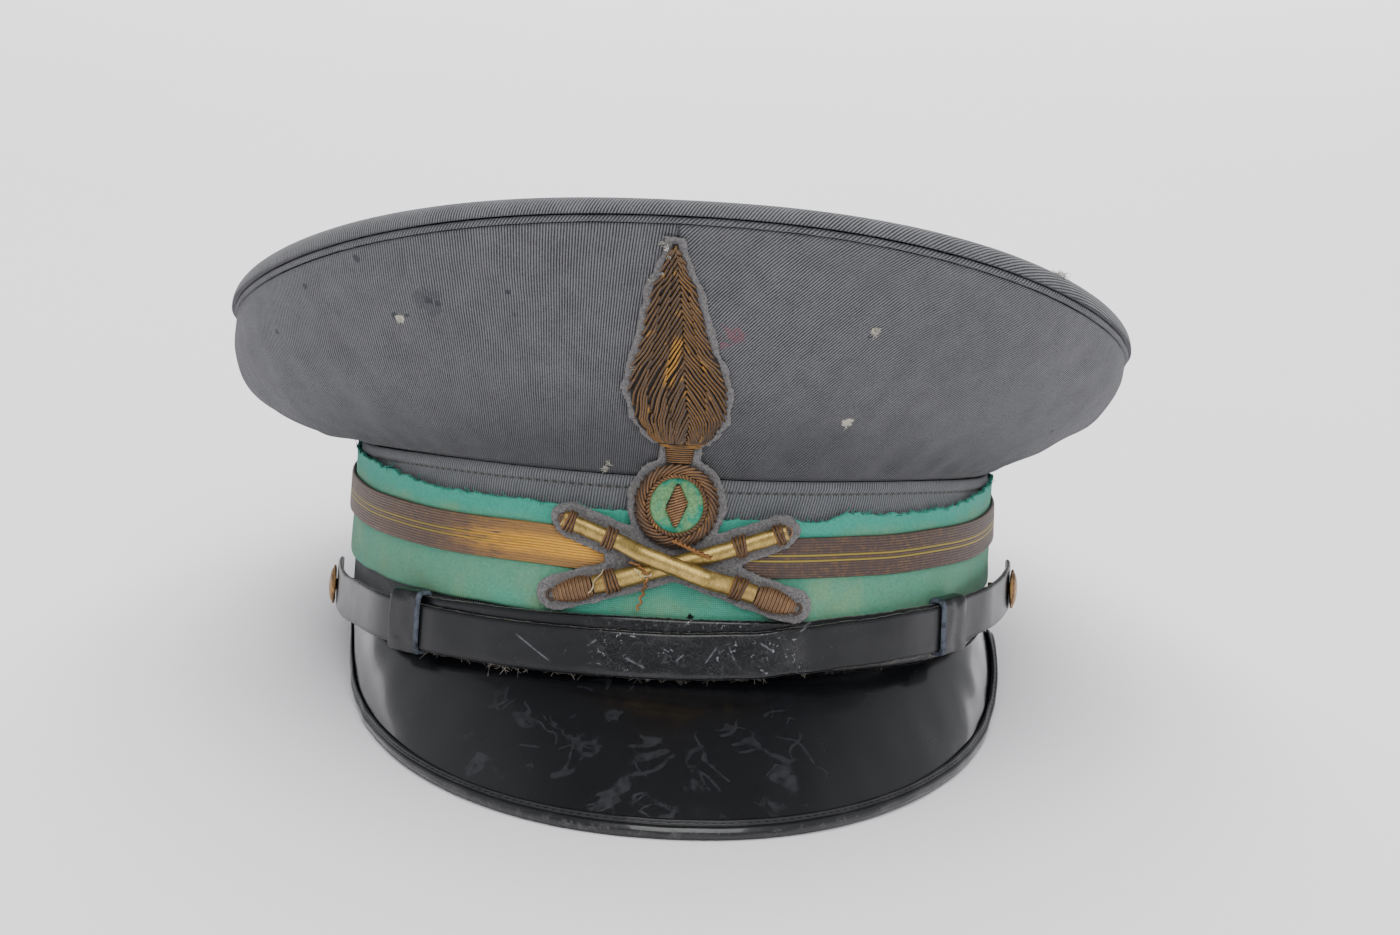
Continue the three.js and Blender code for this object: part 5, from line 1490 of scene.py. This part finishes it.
def feltFringe():
    rng = np.random.default_rng(141)
    x, z = rng.uniform(-34, 40, 9000), rng.uniform(8, 108, 9000)
    near = np.abs(feltDistance(x, z) + 0.15) < 0.18
    x, z = x[near][:420], z[near][:420]
    gradX = feltDistance(x + 0.1, z) - feltDistance(x - 0.1, z)
    gradZ = feltDistance(x, z + 0.1) - feltDistance(x, z - 0.1)
    roots = frontPoint(x, z, 0.6)
    paths = fibrePaths(roots, unit(stack(gradX, -0.3, gradZ)), 0.9, 0.4, 142)
    material = fibreMaterial("feltThread", eye(150, 148, 144), eye(96, 94, 92))
    makePiece("feltFringe", tubeParts(paths, 0.07, 3), "badge_felt", material)


# Lint: short pale fibres round a few places of the cloth, the flame's tip and the rim. Places on the
# cloth are x, height, spread and count; those on the rim are the angle and count.
lint = {
    "cloth": [
        *((x, z, 0.6 * size, 50) for x, z, size in crown["lint"]),
        (-15.0, 47.6, 0.6, 45), (-14.2, 49.2, 0.4, 20),
    ],
    "tip": [(-2.4, 102.4), (-1.6, 100.6), (-3.5, 103.9), (-3.1, 96.6), (-5.8, 94.7), (-9.0, 73.8)],
    "rim": [(0.875, 46), (0.862, 26), (0.85, 14)],
}


def lintTufts():
    rng = np.random.default_rng(151)
    paths = []
    for x, z, spread, count in lint["cloth"]:
        centre = np.array([x, -frontDepth(x, z) - 0.2, z])
        roots = centre + rng.normal(0, 0.42, (count, 3)) * [spread, 0.15, spread * 1.5]
        paths.append(fibrePaths(roots, np.array([0.0, -0.3, 0.0]), 0.45, 1.3, 152 + count))
    for order, (x, z) in enumerate(lint["tip"]):
        tip = frontPoint(x, z, 2.0) + rng.normal(0, 0.3, (16, 3))
        paths.append(fibrePaths(tip, np.array([0.0, -0.4, 0.1]), 0.4, 1.2, 158 + order))
    for theta, count in lint["rim"]:
        rim = rollPoint(np.array([theta]), 1.2, 0.0)[0] + rng.normal(0, 0.5, (count, 3)) * [1.4, 1.0, 0.5]
        paths.append(fibrePaths(rim, np.array([0.1, -0.2, 0.6]), 0.9, 1.1, 165 + count))
    material = fibreMaterial("lint", eye(206, 202, 192), eye(158, 152, 142))
    makePiece("lintTufts", tubeParts(np.concatenate(paths), 0.08, 3), "badge_felt", material)


# Stray gold threads on the lower cannon: a wavy end that hangs over the green cloth, and a twisted
# cord that crosses the barrel; pale threads lie beside them.
def strayThreads():
    t = np.linspace(0, 1, 70)
    x = mix(-3.2, -5.4, t) + 0.35 * np.sin(t * 26) * smooth(t * 4)
    hanging = frontPoint(x, mix(23.6, 14.6, t), 5.2 * (1 - smooth(t * 1.6)) + 1.7 - 0.9 * t)
    x = mix(-3.2, -7.5, t) + 0.3 * np.sin(t * 24)
    loop = frontPoint(x, 23.6 + 3.0 * t + 0.8 * np.sin(t * math.pi), 5.2 + 0.2 * np.cos(t * 17))
    parts = tubeParts(np.stack([hanging, loop]), 0.3, 6, 0.9)
    wind = t * 26 + np.array([[0.0], [math.pi]])
    x, z = mix(2.4, 11.4, t) + 0.3 * np.cos(wind), mix(32.6, 28.8, t) + 0.3 * np.sin(wind)
    parts += tubeParts(frontPoint(x, z, 5.3 + 0.25 * np.sin(wind)), 0.33, 6, 0.3)
    bullionPiece("strayThreads", parts, eye(140, 98, 58), eye(196, 138, 76), 0.3)
    x = mix(np.array([[-17.2], [-6.6], [-2.6]]), np.array([[-14.2], [-2.6], [-4.0]]), t) + 0.3 * np.sin(t * 9)
    z = np.stack([mix(18.6, 24.4, t), 25.4 - 1.2 * np.sin(t * 3) - 1.0 * t, mix(24.4, 21.6, t)])
    pale = frontPoint(x, z, mix(np.array([[4.9], [5.6], [5.4]]), np.array([[4.9], [5.6], [3.8]]), t))
    material = fibreMaterial("paleThread", eye(206, 194, 166), eye(160, 146, 116))
    makePiece("paleThreads", tubeParts(pale, 0.16, 5), "bullion", material)


crownSide()
rimPiping()
crownTop()
headBand()
greenBand()
goldBraid()
peakLeather()
peakBinding()
chinStrap()
strapLoop("loopLeft", strap["leftLoop"], "slider_left", 161)
strapLoop("loopRight", strap["rightLoop"], "slider_right", 162)
sideButton("buttonLeft", -math.radians(button["angle"]), frontEdges, "button_left")
sideButton("buttonRight", math.radians(button["angle"]), rearEdges, "button_right")
feltPiece()
flamePiece()
neckPiece()
roundelRing()
roundelGround()
lozengePiece()
cannonPiece("cannonUpper", cannon["upper"], "cannon_upper", "breechUpper", "cannon_upper_breech")
cannonPiece("cannonLower", cannon["lower"], "cannon_lower", "breechLower", "cannon_lower_breech")
strapFringe()
greenFringe()
feltFringe()
lintTufts()
strayThreads()
print("cap made")

# Studio: a pale floor, a sky that is bright at the sides and behind and dim over the front, and soft
# lamps that the leather doesn't mirror.
studio = {"floorSize": 7.0, "dim": 0.22, "bright": 0.6, "behind": 0.5, "floor": eye(236, 234, 238)}


def paleFloor():
    half = studio["floorSize"] / 2
    mesh = bpy.data.meshes.new("paleFloor")
    corners = [(x * half, y * half, 0) for x, y in ((-1, -1), (1, -1), (1, 1), (-1, 1))]
    mesh.from_pydata(corners, [], [(0, 1, 2, 3)])
    recipe = Recipe("paleCloth", Specular_IOR_Level=0.1)
    cloud = recipe.noise(260.0, 3.0)
    recipe.colour = recipe.blend((cloud - 0.4) * 0.3, studio["floor"], eye(214, 212, 217))
    mesh.materials.append(recipe.finish(0.95, recipe.noise(1.4, 2.0), 0.05))
    addObject("paleFloor", mesh)


def softLamp(name, place, aim, size, power, mirrored=False):
    lamp = bpy.data.lights.new(name, "AREA")
    lamp.shape = "RECTANGLE"
    lamp.size, lamp.size_y = size
    lamp.energy = power
    made = addObject(name, lamp)
    made.location = place
    made.rotation_euler = (Vector(aim) - Vector(place)).to_track_quat("-Z", "Y").to_euler()
    made.visible_glossy = mirrored


def sky():
    world = bpy.data.worlds.new("studio")
    world.use_nodes = True
    nodes, links = world.node_tree.nodes, world.node_tree.links
    direction = nodes.new("ShaderNodeTexCoord")
    parts = nodes.new("ShaderNodeSeparateXYZ")
    links.new(direction.outputs["Generated"], parts.inputs[0])

    def ramp(socket, low, high, start, finish):
        made = nodes.new("ShaderNodeMapRange")
        made.interpolation_type = "SMOOTHSTEP"
        for index, value in enumerate((low, high, start, finish)):
            made.inputs[index + 1].default_value = value
        links.new(socket, made.inputs[0])
        return made.outputs[0]

    def join(operation, a, b):
        made = nodes.new("ShaderNodeMath")
        made.operation = operation
        links.new(a, made.inputs[0])
        if b is not None:
            links.new(b, made.inputs[1])
        return made.outputs[0]

    sides = ramp(join("ABSOLUTE", parts.outputs[0], None), 0.3, 0.85, studio["dim"], studio["bright"])
    behind = ramp(parts.outputs[1], 0.1, 0.6, 0.0, studio["behind"])
    links.new(join("MAXIMUM", sides, behind), nodes["Background"].inputs[1])
    nodes["Background"].inputs[0].default_value = (0.96, 0.97, 1.0, 1.0)
    bpy.context.scene.world = world


paleFloor()
sky()
softLamp("lampFront", (0.25, -1.7, 1.35), (0, 0, 0.05), (1.4, 1.2), 27, True)
softLamp("lampOver", (0.0, 0.1, 1.7), (0, 0, 0.0), (1.6, 1.6), 42)
softLamp("lampBack", (0.0, 2.4, 1.8), (0, 2.2, 0.0), (3.6, 1.6), 130)

# Camera: as far and as high as in the picture, level with its tilt, looking at the front of the cap.
view = {
    "distance": 800.0, "lens": 75.214, "elevation": 7.54, "turn": 0.5, "roll": 3.15,
    "aim": (6.7, 0.0, 35.8),
}


def makeCamera():
    e, a, r = (math.radians(view[key]) for key in ("elevation", "turn", "roll"))
    back = np.array([math.sin(a) * math.cos(e), -math.cos(a) * math.cos(e), math.sin(e)])
    right = np.array([math.cos(a), math.sin(a), 0.0])
    up = np.cross(back, right)
    tiltedRight = math.cos(r) * right + math.sin(r) * up
    tiltedUp = -math.sin(r) * right + math.cos(r) * up
    origin = toRow(np.zeros(3))
    axes = [(toRow(v) - origin) * 1000 for v in (tiltedRight, tiltedUp, back)]
    place = toRow(np.array(view["aim"]) + back * view["distance"])
    data = bpy.data.cameras.new("camera")
    data.lens, data.sensor_width = view["lens"], 36.0
    data.clip_start, data.clip_end = 0.05, 20.0
    camera = addObject("camera", data)
    rows = [[float(axes[c][k]) for c in range(3)] + [float(place[k])] for k in range(3)]
    camera.matrix_world = Matrix(rows + [[0, 0, 0, 1]])
    bpy.context.scene.camera = camera


makeCamera()
print("studio made")
